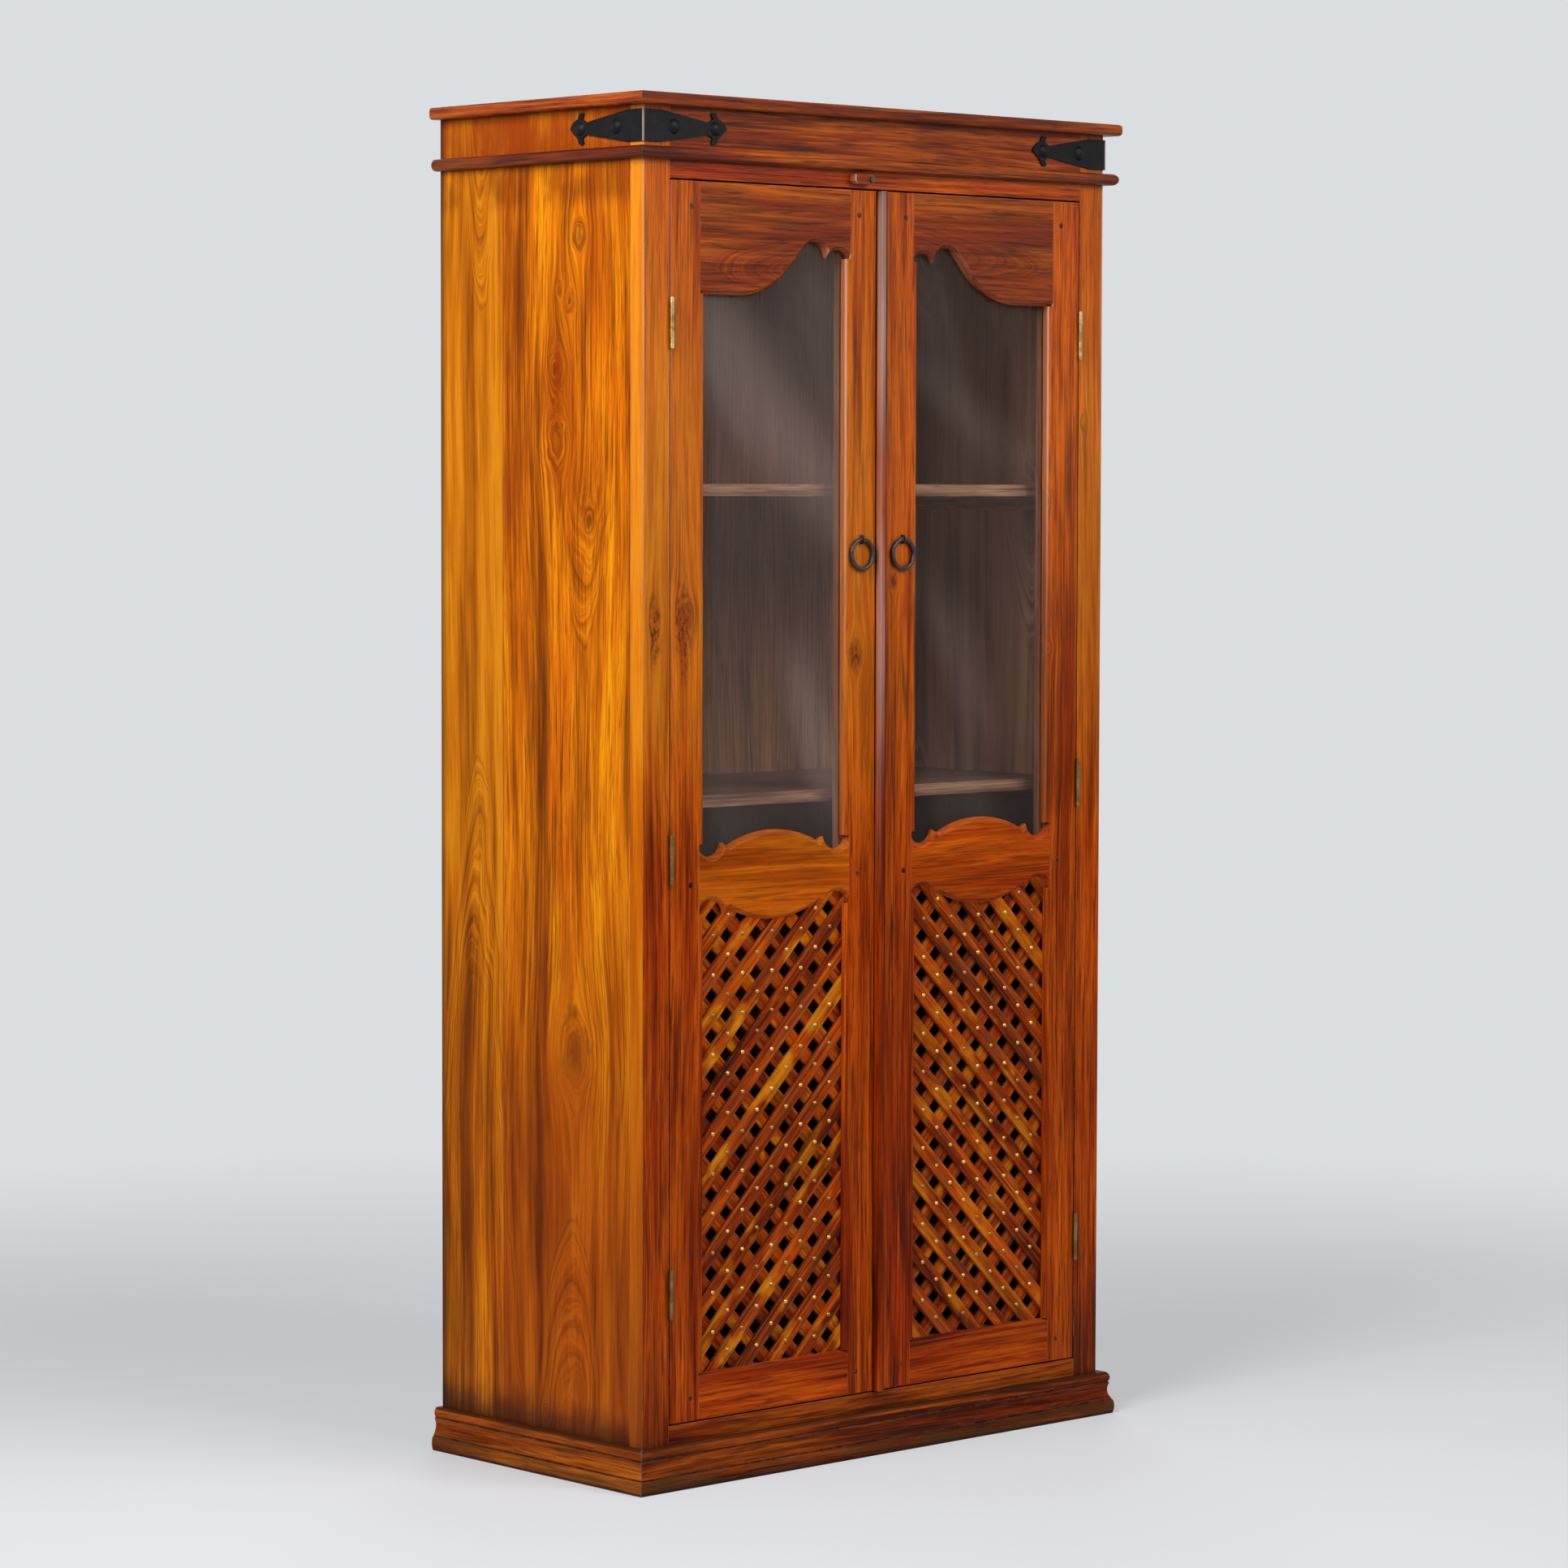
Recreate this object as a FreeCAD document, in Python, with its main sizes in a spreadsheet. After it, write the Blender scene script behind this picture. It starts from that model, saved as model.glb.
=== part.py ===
"""Two-door rosewood display cabinet: glazed above, nailed lattice below, free-standing.

Lengths are millimetres. X runs to the right, Y to the back and Z up. The origin lies on
the floor under the middle of the cabinet's whole outline, and the doors face -Y.
"""
import FreeCAD, Part

import math
import os

import Sketcher
from FreeCAD import Placement, Rotation, Vector

LEFT, RIGHT = -1, 1
TOWARDS_FRONT = Vector(0, -1, 0)
QUARTER_BULGE = 1 - math.sqrt(0.5)      # rise of a quarter circle of radius one over its chord
DIAGONAL = math.sqrt(0.5)               # sine and cosine of the lattice's 45 degrees

doc = FreeCAD.newDocument("DisplayCabinet")
sheet = doc.addObject("Spreadsheet::Sheet", "Sheet")
pieces = []
rows = []


class Size:
    """A length written as an expression over the sheet, so that it follows its cells."""

    def __init__(self, rule):
        self.rule = str(rule)

    def __str__(self):
        return self.rule

    def __add__(self, other):
        return Size(f"({self} + {other})")

    def __radd__(self, other):
        return Size(f"({other} + {self})")

    def __sub__(self, other):
        return Size(f"({self} - {other})")

    def __rsub__(self, other):
        return Size(f"({other} - {self})")

    def __mul__(self, other):
        return Size(f"({self} * {other})")

    __rmul__ = __mul__

    def __truediv__(self, other):
        return Size(f"({self} / {other})")

    def __neg__(self):
        return Size(f"(0 - {self})")

    def now(self):
        """The length in millimetres, with the sheet as it stands."""
        return float(sheet.evalExpression(self.rule))


def size(alias, value, note):
    """Put one driving dimension into the sheet and return it as a Size."""
    row = len(rows) + 1
    rows.append(alias)
    sheet.set(f"A{row}", note)
    sheet.set(f"B{row}", value)
    sheet.setAlias(f"B{row}", alias)
    return Size(f"Sheet.{alias}")


def larger(first, second):
    return Size(f"max({first}; {second})")


def root(length):
    return Size(f"sqrt({length})")


def number(length):
    return length.now() if isinstance(length, Size) else float(length)


# Driving dimensions: carcass

height = size("height", "1800", "floor to top face")
body_width = size("body_width", "845", "carcass, outside of the sides")
body_depth = size("body_depth", "410", "carcass, front of the face frame to the back")
side_thick = size("side_thick", "22", "side boards")
side_front_board = size("side_front_board", "255", "width of the front board of each side")
back_thick = size("back_thick", "10", "back boards")
back_count = size("back_count", "6", "number of back boards")
back_joint = size("back_joint", "0.6", "open joint between back boards")
shelf_thick = size("shelf_thick", "16", "shelves and bottom board")
shelf_spaces = size("shelf_spaces", "4", "number of spaces between bottom, shelves and top")
shelf_setback = size("shelf_setback", "45", "front edge of the shelves behind the front")
cleat = size("cleat", "20", "square section of the shelf bearers")
frame_thick = size("frame_thick", "25", "face frame")
frame_stile = size("frame_stile", "45", "width of the face frame's stiles")
frame_tenon = size("frame_tenon", "22", "length of the face frame's tenons")
top_rail_show = size("top_rail_show", "23", "top rail seen between the doors and the cornice")
bottom_rail_show = size("bottom_rail_show", "24", "bottom rail seen between plinth and doors")
stop_drop = size("stop_drop", "12", "door stop below the top rail")
stop_rise = size("stop_rise", "15", "door stop glued against the top rail")
stop_thick = size("stop_thick", "14", "door stop, front to back")
stop_clear = size("stop_clear", "0.5", "closed doors to the stop")

# Driving dimensions: top, cornice and plinth

top_thick = size("top_thick", "16", "top board")
top_overhang = size("top_overhang", "19", "top board past the front and the sides")
top_round = size("top_round", "5", "rounding of the top board's edges")
frieze_height = size("frieze_height", "52", "plain band between cornice and top")
cornice_height = size("cornice_height", "16", "half-round moulding")
cornice_proud = size("cornice_proud", "16", "half-round moulding in front of the carcass")
plinth_height = size("plinth_height", "58", "base moulding")
plinth_proud = size("plinth_proud", "19", "base moulding in front of the carcass")
foot_height = size("foot_height", "19.6", "rounded foot of the base moulding")
foot_bulge = size("foot_bulge", "1.8", "rounding of the foot")
cove_foot = size("cove_foot", "16.4", "cove at its lower end, from the carcass")
cove_head = size("cove_head", "13.6", "cove at its upper end, from the carcass")
cove_depth = size("cove_depth", "3.1", "hollow of the cove")
fillet_height = size("fillet_height", "1.9", "small fillet along the top of the cove")
quirk_height = size("quirk_height", "0.9", "grooves over the foot and under the torus")
quirk_depth = size("quirk_depth", "1.2", "depth of these grooves")
torus_height = size("torus_height", "13.2", "torus along the top of the base moulding")
torus_head = size("torus_head", "10.4", "torus at its upper end, from the carcass")
torus_bulge = size("torus_bulge", "2.9", "rounding of the torus")

# Driving dimensions: doors

door_gap = size("door_gap", "2.4", "between the doors and the face frame")
meeting_gap = size("meeting_gap", "2.5", "between the two doors")
hinge_stile = size("hinge_stile", "58", "width of the doors' outer stiles")
meeting_reach = size("meeting_reach", "66", "cabinet's middle to the doors' openings")
edge_round = size("edge_round", "5", "rounding along the openings")
rail_bevel = size("rail_bevel", "5", "bevel along the shaped edges of the door rails")
rebate = size("rebate", "8", "rebate behind the openings' edges")
tenon_thick = size("tenon_thick", "8", "tenons, front to back")
tenon_length = size("tenon_length", "30", "tenons of the door rails")
tenon_shoulder = size("tenon_shoulder", "6", "shoulder above and below a tenon")
peg_radius = size("peg_radius", "4", "pegs through the tenons")
peg_depth = size("peg_depth", "20", "length of a peg")
mid_peg_drop = size("mid_peg_drop", "7", "middle rail's pegs below its axis")
rail_drop = size("rail_drop", "144", "top rail, door's top edge to its straight lower edge")
flat_share = size("flat_share", "0.258", "straight edge, share of the top rail's length")
sweep_share = size("sweep_share", "0.3624", "long curve, share of the top rail's length")
sweep_share_up = size("sweep_share_up", "0.445", "rise of the long curve, share of its width")
climb_share = size("climb_share", "0.0764", "straight climb past the curve, share of the rail's length")
crest_share = size("crest_share", "0.1516", "crest past the climb, share of the top rail's length")
cusp_share_up = size("cusp_share_up", "0.1973", "cusp above the straight edge, share of the rail's length")
arch_share_up = size("arch_share_up", "0.284", "rise of the small arch, share of its width")
glass_drop = size("glass_drop", "60", "top of the glass below the door's top")
mid_share = size("mid_share", "0.4398", "middle rail's axis, share of the door's height")
mid_core = size("mid_core", "17", "half height of the middle rail's thick core")
bow_share = size("bow_share", "0.599", "middle rail's bow, share of the rail's length")
bow_foot = size("bow_foot", "40", "bow's ends above the axis")
bow_share_up = size("bow_share_up", "0.117", "rise of the bow, share of its width")
beak_step = size("beak_step", "10", "points beside the bow, past its ends")
beak_rise = size("beak_rise", "45.4", "points beside the bow, above the axis")
scallop_share_up = size("scallop_share_up", "0.4", "hollows past the points, share of their width")
door_bottom_rail = size("door_bottom_rail", "61", "height of the doors' bottom rails")
glass_setback = size("glass_setback", "11", "glass behind the door's face")
glass_thick = size("glass_thick", "3", "glass")
glass_clear = size("glass_clear", "0.5", "glass inside its rebate")
lattice_setback = size("lattice_setback", "6", "lattice behind the door's face")
lattice_clear = size("lattice_clear", "0.5", "lattice inside its rebate")
slat_thick = size("slat_thick", "5", "lattice slats")
slat_width = size("slat_width", "19.5", "lattice slats")
slat_pitch = size("slat_pitch", "36.8", "from slat to slat, square across")
bead_width = size("bead_width", "10", "meeting bead on the right door's edge")
bead_proud = size("bead_proud", "11", "meeting bead in front of the doors")
bead_round = size("bead_round", "2.5", "rounding of the meeting bead")

# Driving dimensions: hinges, pulls, button and straps

hinge_length = size("hinge_length", "65", "butt hinges")
knuckle_count = size("knuckle_count", "5", "knuckles of one hinge")
knuckle_radius = size("knuckle_radius", "3", "barrel")
knuckle_gap = size("knuckle_gap", "0.3", "between neighbouring knuckles")
barrel_stand = size("barrel_stand", "0.3", "barrel in front of the door's face")
pin_radius = size("pin_radius", "1.5", "hinge pin")
pin_fit = size("pin_fit", "0.05", "pin to bore, on the radius")
pin_end = size("pin_end", "1", "pin past the end knuckles")
leaf_thick = size("leaf_thick", "0.9", "hinge leaves")
leaf_reach = size("leaf_reach", "20", "leaves behind the door's face")
leaf_clear = size("leaf_clear", "0.5", "leaf edge behind the door's face")
upper_hinge_drop = size("upper_hinge_drop", "182.6", "middle of the upper hinges below the door's top")
lower_hinge_rise = size("lower_hinge_rise", "170.6", "middle of the lower hinges above the door's foot")
left_hinge_share = size("left_hinge_share", "0.4567", "left middle hinge, share of the door's height")
right_hinge_share = size("right_hinge_share", "0.5016", "right middle hinge, share of the door's height")
ring_radius = size("ring_radius", "19.5", "ring pull, to the middle of its bar")
ring_bar = size("ring_bar", "3", "radius of the ring's bar")
ring_stand = size("ring_stand", "0.6", "ring in front of the door")
ring_share = size("ring_share", "0.7126", "staples, share of the door's height")
left_ring_reach = size("left_ring_reach", "39", "left ring from the cabinet's middle")
right_ring_reach = size("right_ring_reach", "37", "right ring from the cabinet's middle")
staple_bar = size("staple_bar", "1.3", "radius of the staple's wire")
staple_fit = size("staple_fit", "0.4", "staple round the ring's bar")
staple_depth = size("staple_depth", "14", "staple's legs in the stile")
button_reach = size("button_reach", "33", "turn button's screw from the cabinet's middle")
button_width = size("button_width", "12.5", "turn button")
button_length = size("button_length", "34", "turn button, end to end")
button_thick = size("button_thick", "13", "turn button, front to back")
button_toe = size("button_toe", "4", "slope of the turn button's free end")
button_stand = size("button_stand", "0.3", "turn button in front of the rail")
screw_radius = size("screw_radius", "2.2", "shank of the turn button's screw")
screw_fit = size("screw_fit", "0.05", "turn button's bore, on the radius")
screw_depth = size("screw_depth", "18", "screw in the top rail")
screw_head = size("screw_head", "4", "radius of the screw's head")
screw_head_thick = size("screw_head_thick", "2.4", "screw's head")
strap_reach = size("strap_reach", "141", "corner strap, each leg from the corner")
strap_height = size("strap_height", "41.2", "corner strap at the corner")
strap_thick = size("strap_thick", "2.5", "corner strap")
strap_straight = size("strap_straight", "28", "length of the strap's straight part")
neck_reach = size("neck_reach", "109", "strap's neck from the corner")
neck_height = size("neck_height", "16", "strap's neck")
ear_reach = size("ear_reach", "117", "inner side of the strap's ears from the corner")
ear_lean = size("ear_lean", "3", "lean of the ears towards the corner")
ear_width = size("ear_width", "9.5", "strap's ears at their root")
ear_root = size("ear_root", "12.3", "root of the ears above the strap's axis")
ear_rise = size("ear_rise", "18.5", "ears' shoulders above the strap's axis")
ear_bulge = size("ear_bulge", "2.1", "rounding of the ears")
leaf_bulge = size("leaf_bulge", "2.6", "rounding of the strap's pointed end")
nail_reach = size("nail_reach", "50", "large nails from the corner")
nail_radius = size("nail_radius", "10", "large nails")
nail_rise = size("nail_rise", "5", "large nails' domes")
boss_reach = size("boss_reach", "121", "bosses at the ends from the corner")
boss_radius = size("boss_radius", "9", "bosses at the ends")
boss_rise = size("boss_rise", "4.5", "bosses' domes")

doc.recompute()

# Levels and planes that several pieces share

half_width = body_width / 2
overhang = larger(larger(top_overhang, plinth_proud), cornice_proud)
front = (overhang - body_depth) / 2
back = (overhang + body_depth) / 2
frame_back = front + frame_thick
back_boards_front = back - back_thick
inner_half = half_width - side_thick
opening_half = half_width - frame_stile
top_under = height - top_thick
cornice_top = top_under - frieze_height
cornice_low = cornice_top - cornice_height
rail_joint = cornice_low + cornice_height / 2
opening_top = cornice_low - top_rail_show
opening_low = plinth_height + bottom_rail_show

door_back = frame_back - stop_clear
door_top = opening_top - door_gap
door_low = opening_low + door_gap
door_height = door_top - door_low
shelf_step = (opening_top - opening_low + shelf_thick) / shelf_spaces
mid_level = door_low + door_height * mid_share
ring_level = door_low + door_height * ring_share
upper_hinge = door_top - upper_hinge_drop
lower_hinge = door_low + lower_hinge_rise
left_middle_hinge = door_low + door_height * left_hinge_share
right_middle_hinge = door_low + door_height * right_hinge_share
hinge_edge = opening_half - door_gap
outer_edge = hinge_edge - hinge_stile
outer_shoulder = outer_edge + rebate
inner_shoulder = meeting_reach - rebate
door_middle = (inner_shoulder + outer_shoulder) / 2
rail_length = outer_shoulder - inner_shoulder
bow_reach = rail_length / 2 * bow_share
bow_bulge = bow_reach * 2 * bow_share_up
beak_reach = bow_reach + beak_step
scallop_depth = (rail_length / 2 - beak_reach) * scallop_share_up
flat_level = door_top - rail_drop
cusp_level = flat_level + rail_length * cusp_share_up
bottom_rail_top = door_low + door_bottom_rail
lattice_low = bottom_rail_top - rebate
lattice_top = mid_level - mid_core
glass_low = mid_level + mid_core
glass_top = door_top - glass_drop
tenon_front = front + (frame_thick - tenon_thick) / 2 - stop_clear
tenon_back = tenon_front + tenon_thick
lattice_front = front + lattice_setback
lattice_back = lattice_front + slat_thick * 2
glass_front = front + glass_setback
glass_back = glass_front + glass_thick


# Tools for boards, sketched features and joints

def tie(item, rules):
    """Bind the named properties of an object to sizes."""
    for name, length in rules.items():
        item.setExpression(name, str(length))


def put(item, x, y, z):
    tie(item, {"Placement.Base.x": x, "Placement.Base.y": y, "Placement.Base.z": z})


def keep(item):
    pieces.append(item)
    return item


def block(label, across, deep, tall):
    """A board between two places along each axis, given as pairs of sizes."""
    item = doc.addObject("Part::Box", label)
    lengths = zip(("Length", "Width", "Height"), (across, deep, tall))
    tie(item, {name: Size(high) - low for name, (low, high) in lengths})
    put(item, across[0], deep[0], tall[0])
    return item


def rod(label, radius, length, start, direction=Vector(0, 0, 1)):
    item = doc.addObject("Part::Cylinder", label)
    item.Placement = Placement(Vector(), Rotation(Vector(0, 0, 1), direction))
    tie(item, {"Radius": radius, "Height": length})
    put(item, *start)
    return item


def dome(label, radius, rise, base, direction):
    """A nail head: the cap of a sphere, standing on base and looking along direction."""
    ball = (radius * radius + rise * rise) / (2 * rise)
    item = doc.addObject("Part::Sphere", label)
    item.Placement = Placement(Vector(), Rotation(Vector(0, 0, 1), direction))
    tie(item, {"Radius": ball, "Angle1": Size(f"asin({(ball - rise) / ball})")})
    put(item, *[place - (ball - rise) * way for place, way in zip(base, direction)])
    return item


def group(label, items):
    item = doc.addObject("Part::Compound", label)
    item.Links = items
    return item


def fuse(label, items):
    item = doc.addObject("Part::MultiFuse", label)
    item.Shapes = items
    item.Refine = True
    return item


def cut(label, base, tools):
    item = doc.addObject("Part::Cut", label)
    item.Base = base
    item.Tool = tools[0] if len(tools) == 1 else fuse(label + "_room", tools)
    item.Refine = True
    return item


def new_body(label):
    return doc.addObject("PartDesign::Body", label)


def new_sketch(body, name, plane, level):
    """An empty sketch on one of the body's own planes, shifted along the plane's normal."""
    sketch = body.newObject("Sketcher::SketchObject", name)
    origin = [item for item in body.Origin.OriginFeatures if item.Role == plane]
    sketch.AttachmentSupport = [(origin[0], "")]
    sketch.MapMode = "FlatFace"
    tie(sketch, {"AttachmentOffset.Base.z": level})
    return sketch


def constrain(sketch, kind, where, length):
    place = sketch.addConstraint(Sketcher.Constraint(kind, *where, number(length)))
    if isinstance(length, Size):
        sketch.setExpression(f"Constraints[{place}]", str(length))


def arc_side(start, end, bulge):
    """The arc from start to end that stands out to the right of its chord by bulge."""
    chord = end - start
    aside = Vector(chord.y, -chord.x, 0).normalize()
    radius = (chord.Length ** 2 / 4 + bulge ** 2) / (2 * abs(bulge))
    summit = (start + end) / 2 + aside * bulge
    centre = summit - aside * math.copysign(radius, bulge)
    first, last = (start, end) if bulge > 0 else (end, start)
    angles = [math.atan2(spot.y - centre.y, spot.x - centre.x) for spot in (first, last)]
    if angles[1] < angles[0]:
        angles[1] += 2 * math.pi
    return Part.ArcOfCircle(Part.Circle(centre, Vector(0, 0, 1), radius), *angles)


def draw(sketch, corners):
    """Draw a closed outline, every corner and radius tied to its size.

    A corner is (across, up) where a straight side follows it, and (across, up, bulge)
    where an arc follows that stands out to the right of its chord by bulge.
    """
    spots = [Vector(number(corner[0]), number(corner[1]), 0) for corner in corners]
    ends = []
    for place, corner in enumerate(corners):
        start, end = spots[place], spots[(place + 1) % len(spots)]
        bulge = number(corner[2]) if len(corner) > 2 else 0
        if bulge:
            sketch.addGeometry(arc_side(start, end, bulge))
        else:
            sketch.addGeometry(Part.LineSegment(start, end))
        ends.append((2, 1) if bulge < 0 else (1, 2))
    for place, corner in enumerate(corners):
        begin = ends[place][0]
        finish = ends[place - 1][1]
        before = (place - 1) % len(corners)
        sketch.addConstraint(Sketcher.Constraint("Coincident", before, finish, place, begin))
        constrain(sketch, "DistanceX", (-1, 1, place, begin), corner[0])
        constrain(sketch, "DistanceY", (-1, 1, place, begin), corner[1])
        if len(corner) > 2:
            across, up, bulge = corner
            beyond = corners[(place + 1) % len(corners)]
            run, climb = Size(beyond[0]) - across, Size(beyond[1]) - up
            chord = run * run + climb * climb
            radius = Size(f"abs({(chord / 4 + bulge * bulge) / (2 * bulge)})")
            constrain(sketch, "Radius", (place,), radius)
    return sketch


def draw_circle(sketch, across, up, radius):
    centre = Vector(number(across), number(up), 0)
    place = sketch.addGeometry(Part.Circle(centre, Vector(0, 0, 1), number(radius)))
    constrain(sketch, "DistanceX", (-1, 1, place, 3), across)
    constrain(sketch, "DistanceY", (-1, 1, place, 3), up)
    constrain(sketch, "Radius", (place,), radius)


def feature(body, kind, name, plane, span, paint):
    """Pad or pocket what paint draws on a plane, between the two places of span.

    The plane's normal points to the front on XZ, so there the sketch lies at the far place.
    """
    low, high = span
    level = -Size(high) if plane == "XZ_Plane" else Size(low)
    sketch = new_sketch(body, name + "_sketch", plane, level)
    paint(sketch)
    item = body.newObject(kind, name)
    item.Profile = sketch
    item.Reversed = kind == "PartDesign::Pocket"
    tie(item, {"Length": Size(high) - low})
    return item


def pad(body, name, plane, span, corners):
    return feature(body, "PartDesign::Pad", name, plane, span, lambda sketch: draw(sketch, corners))


def pocket(body, name, plane, span, corners):
    return feature(body, "PartDesign::Pocket", name, plane, span, lambda sketch: draw(sketch, corners))


def bore(body, name, span, spots, radius):
    """Holes from front to back at the given places."""
    def paint(sketch):
        for across, up in spots:
            draw_circle(sketch, across, up, radius)
    return feature(body, "PartDesign::Pocket", name, "XZ_Plane", span, paint)


def rectangle(across, up):
    return [(across[0], up[0]), (across[1], up[0]), (across[1], up[1]), (across[0], up[1])]


def sided(side, near, far):
    """A span from near to far of the cabinet's middle, on the left or the right half."""
    return (Size(near), Size(far)) if side == RIGHT else (-Size(far), -Size(near))


# Carcass: sides, back, bottom, shelves and their bearers

def build_carcass():
    for name, side in (("left", LEFT), ("right", RIGHT)):
        across = sided(side, inner_half, half_width)
        joint = frame_back + side_front_board
        boards = [block(f"{name}_side_front_board", across, (frame_back, joint), (0, top_under)),
                  block(f"{name}_side_rear_board", across, (joint, back), (0, top_under))]
        keep(group(f"{name}_side", boards))

    bottom_under = opening_low - shelf_thick
    board_width = (inner_half * 2 + back_joint) / back_count
    boards = []
    for place in range(round(back_count.now())):
        start = board_width * place - inner_half
        across = (start, start + board_width - back_joint)
        deep = (back_boards_front, back)
        boards.append(block(f"back_board_{place + 1}", across, deep, (bottom_under, top_under)))
    keep(group("back_boards", boards))

    inside = (-inner_half, inner_half)
    keep(block("bottom_board", inside, (frame_back, back_boards_front), (bottom_under, opening_low)))
    bearers = []
    shelf_names = ("bottom_board", "lower_shelf", "middle_shelf", "upper_shelf")
    for place, name in enumerate(shelf_names):
        surface = opening_low + shelf_step * place
        under = surface - shelf_thick
        if place:
            deep = (front + shelf_setback, back_boards_front)
            keep(block(name, inside, deep, (under, surface)))
        for hand, side in (("left", LEFT), ("right", RIGHT)):
            across = sided(side, inner_half - cleat, inner_half)
            deep = (front + shelf_setback + cleat, back_boards_front)
            bearers.append(block(f"{hand}_bearer_{place + 1}", across, deep, (under - cleat, under)))
    keep(group("shelf_bearers", bearers))


# Face frame: two full-height stiles with three tenoned rails, and the doors' stop

def build_face_frame():
    deep = (front, frame_back)
    levels = {
        "frieze_rail": (rail_joint, top_under),
        "frame_top_rail": (opening_top, rail_joint),
        "frame_bottom_rail": (Size(0), opening_low),
    }
    tenons = {LEFT: [], RIGHT: []}
    for name, (low, high) in levels.items():
        body = block(name + "_board", (-opening_half, opening_half), deep, (low, high))
        ends = []
        for hand, side in (("left", LEFT), ("right", RIGHT)):
            across = sided(side, opening_half, opening_half + frame_tenon)
            tall = (low + tenon_shoulder, high - tenon_shoulder)
            ends.append(block(f"{name}_{hand}_tenon", across, (tenon_front, tenon_back), tall))
            tenons[side].append(ends[-1])
        rail = fuse(name + "_tenoned", [body] + ends)
        if name == "frame_top_rail":
            spot = (-button_reach, front, opening_top + top_rail_show / 2)
            hole = rod("button_screw_hole", screw_radius, screw_depth, spot, Vector(0, 1, 0))
            rail = cut(name, rail, [hole])
        rail.Label = name
        keep(rail)
    for hand, side in (("left", LEFT), ("right", RIGHT)):
        stile = block(f"{hand}_frame_board", sided(side, opening_half, half_width), deep, (0, top_under))
        keep(cut(f"{hand}_frame_stile", stile, tenons[side]))
    across = (-opening_half, opening_half)
    tall = (opening_top - stop_drop, opening_top + stop_rise)
    keep(block("door_stop", across, (frame_back, frame_back + stop_thick), tall))


# Top board with rounded edges, half-round cornice and base moulding with mitred corners

def build_top():
    body = new_body("top_board")
    reach = half_width + top_overhang
    corners = rectangle((-reach, reach), (front - top_overhang, back))
    board = pad(body, "top_pad", "XY_Plane", (top_under, height), corners)
    doc.recompute()
    rim = []
    for place, edge in enumerate(board.Shape.Edges, start=1):
        box = edge.BoundBox
        if box.ZLength < 0.01 and box.YMin < back.now() - 0.01:
            rim.append(f"Edge{place}")
    rounding = body.newObject("PartDesign::Fillet", "top_rounding")
    rounding.Base = (board, rim)
    tie(rounding, {"Radius": top_round})
    keep(body)


def cornice_outline(place):
    """The half-round's section; place turns a distance from the carcass into a coordinate."""
    nose = cornice_height / 2
    flat = cornice_proud - nose
    quarter = QUARTER_BULGE * nose
    return [(place(0), cornice_low), (place(flat), cornice_low, quarter),
            (place(cornice_proud), rail_joint, quarter), (place(flat), cornice_top),
            (place(0), cornice_top)]


def plinth_outline(place):
    """The base moulding's section: foot, cove, fillet and torus with grooves between, from the floor up."""
    foot = plinth_proud - foot_bulge
    cove_low = foot_height + quirk_height
    lower_groove = cove_foot - quirk_depth
    torus_low = plinth_height - torus_height
    fillet_top = torus_low - quirk_height
    cove_top = fillet_top - fillet_height
    upper_groove = cove_head - quirk_depth
    return [(place(0), 0), (place(foot), 0, foot_bulge), (place(foot), foot_height),
            (place(lower_groove), foot_height), (place(lower_groove), cove_low),
            (place(cove_foot), cove_low, -cove_depth), (place(cove_head), cove_top),
            (place(cove_head), fillet_top), (place(upper_groove), fillet_top),
            (place(upper_groove), torus_low, torus_bulge), (place(torus_head), plinth_height),
            (place(0), plinth_height)]


def turned(corners):
    """The same outline with its arcs on the other hand, for a mirrored coordinate."""
    return [(corner[0], corner[1]) + tuple(-bulge for bulge in corner[2:]) for corner in corners]


def build_mouldings():
    for name, outline, proud, tall in (
            ("cornice", cornice_outline, cornice_proud, (cornice_low, cornice_top)),
            ("plinth", plinth_outline, plinth_proud, (Size(0), plinth_height))):
        reach = half_width + proud
        body = new_body(name + "_front")
        section = turned(outline(lambda out: front - out))
        pad(body, name + "_front_run", "YZ_Plane", (-reach, reach), section)
        for hand, side in (("left", LEFT), ("right", RIGHT)):
            mitre = [(side * half_width, front), (side * reach, front - proud), (side * reach, front)]
            pocket(body, f"{name}_front_{hand}_mitre", "XY_Plane", tall, mitre)
        keep(body)
        for hand, side in (("left", LEFT), ("right", RIGHT)):
            body = new_body(f"{name}_{hand}")
            section = outline(lambda out: side * (half_width + out))
            section = section if side == RIGHT else turned(section)
            pad(body, f"{name}_{hand}_run", "XZ_Plane", (front - proud, back), section)
            mitre = [(side * half_width, front), (side * reach, front - proud),
                     (side * half_width, front - proud)]
            pocket(body, f"{name}_{hand}_mitre", "XY_Plane", tall, mitre)
            keep(body)


# Iron corner straps on the frieze, with their domed nails

def strap_outline(place, axis):
    """One leg from past the corner to its pointed leaf; place turns reach into a coordinate."""
    half = strap_height / 2
    neck = neck_height / 2
    ear_far = ear_reach + ear_width
    upper = [(Size(0) - strap_thick, half), (strap_straight, half), (neck_reach, neck),
             (ear_reach, ear_root), (ear_reach - ear_lean, ear_rise, -ear_bulge),
             (ear_far - ear_lean, ear_rise), (ear_far, ear_root, -leaf_bulge), (strap_reach, Size(0))]
    corners = [(place(corner[0]), axis + corner[1]) + corner[2:] for corner in upper]
    bulges = [corner[2:] for corner in upper]
    lower = list(zip(upper, [()] + bulges[:-1]))[-2::-1]
    corners += [(place(corner[0]), axis - corner[1]) + before for corner, before in
                [(lower[0][0], ())] + lower[1:]]
    return corners


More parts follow.
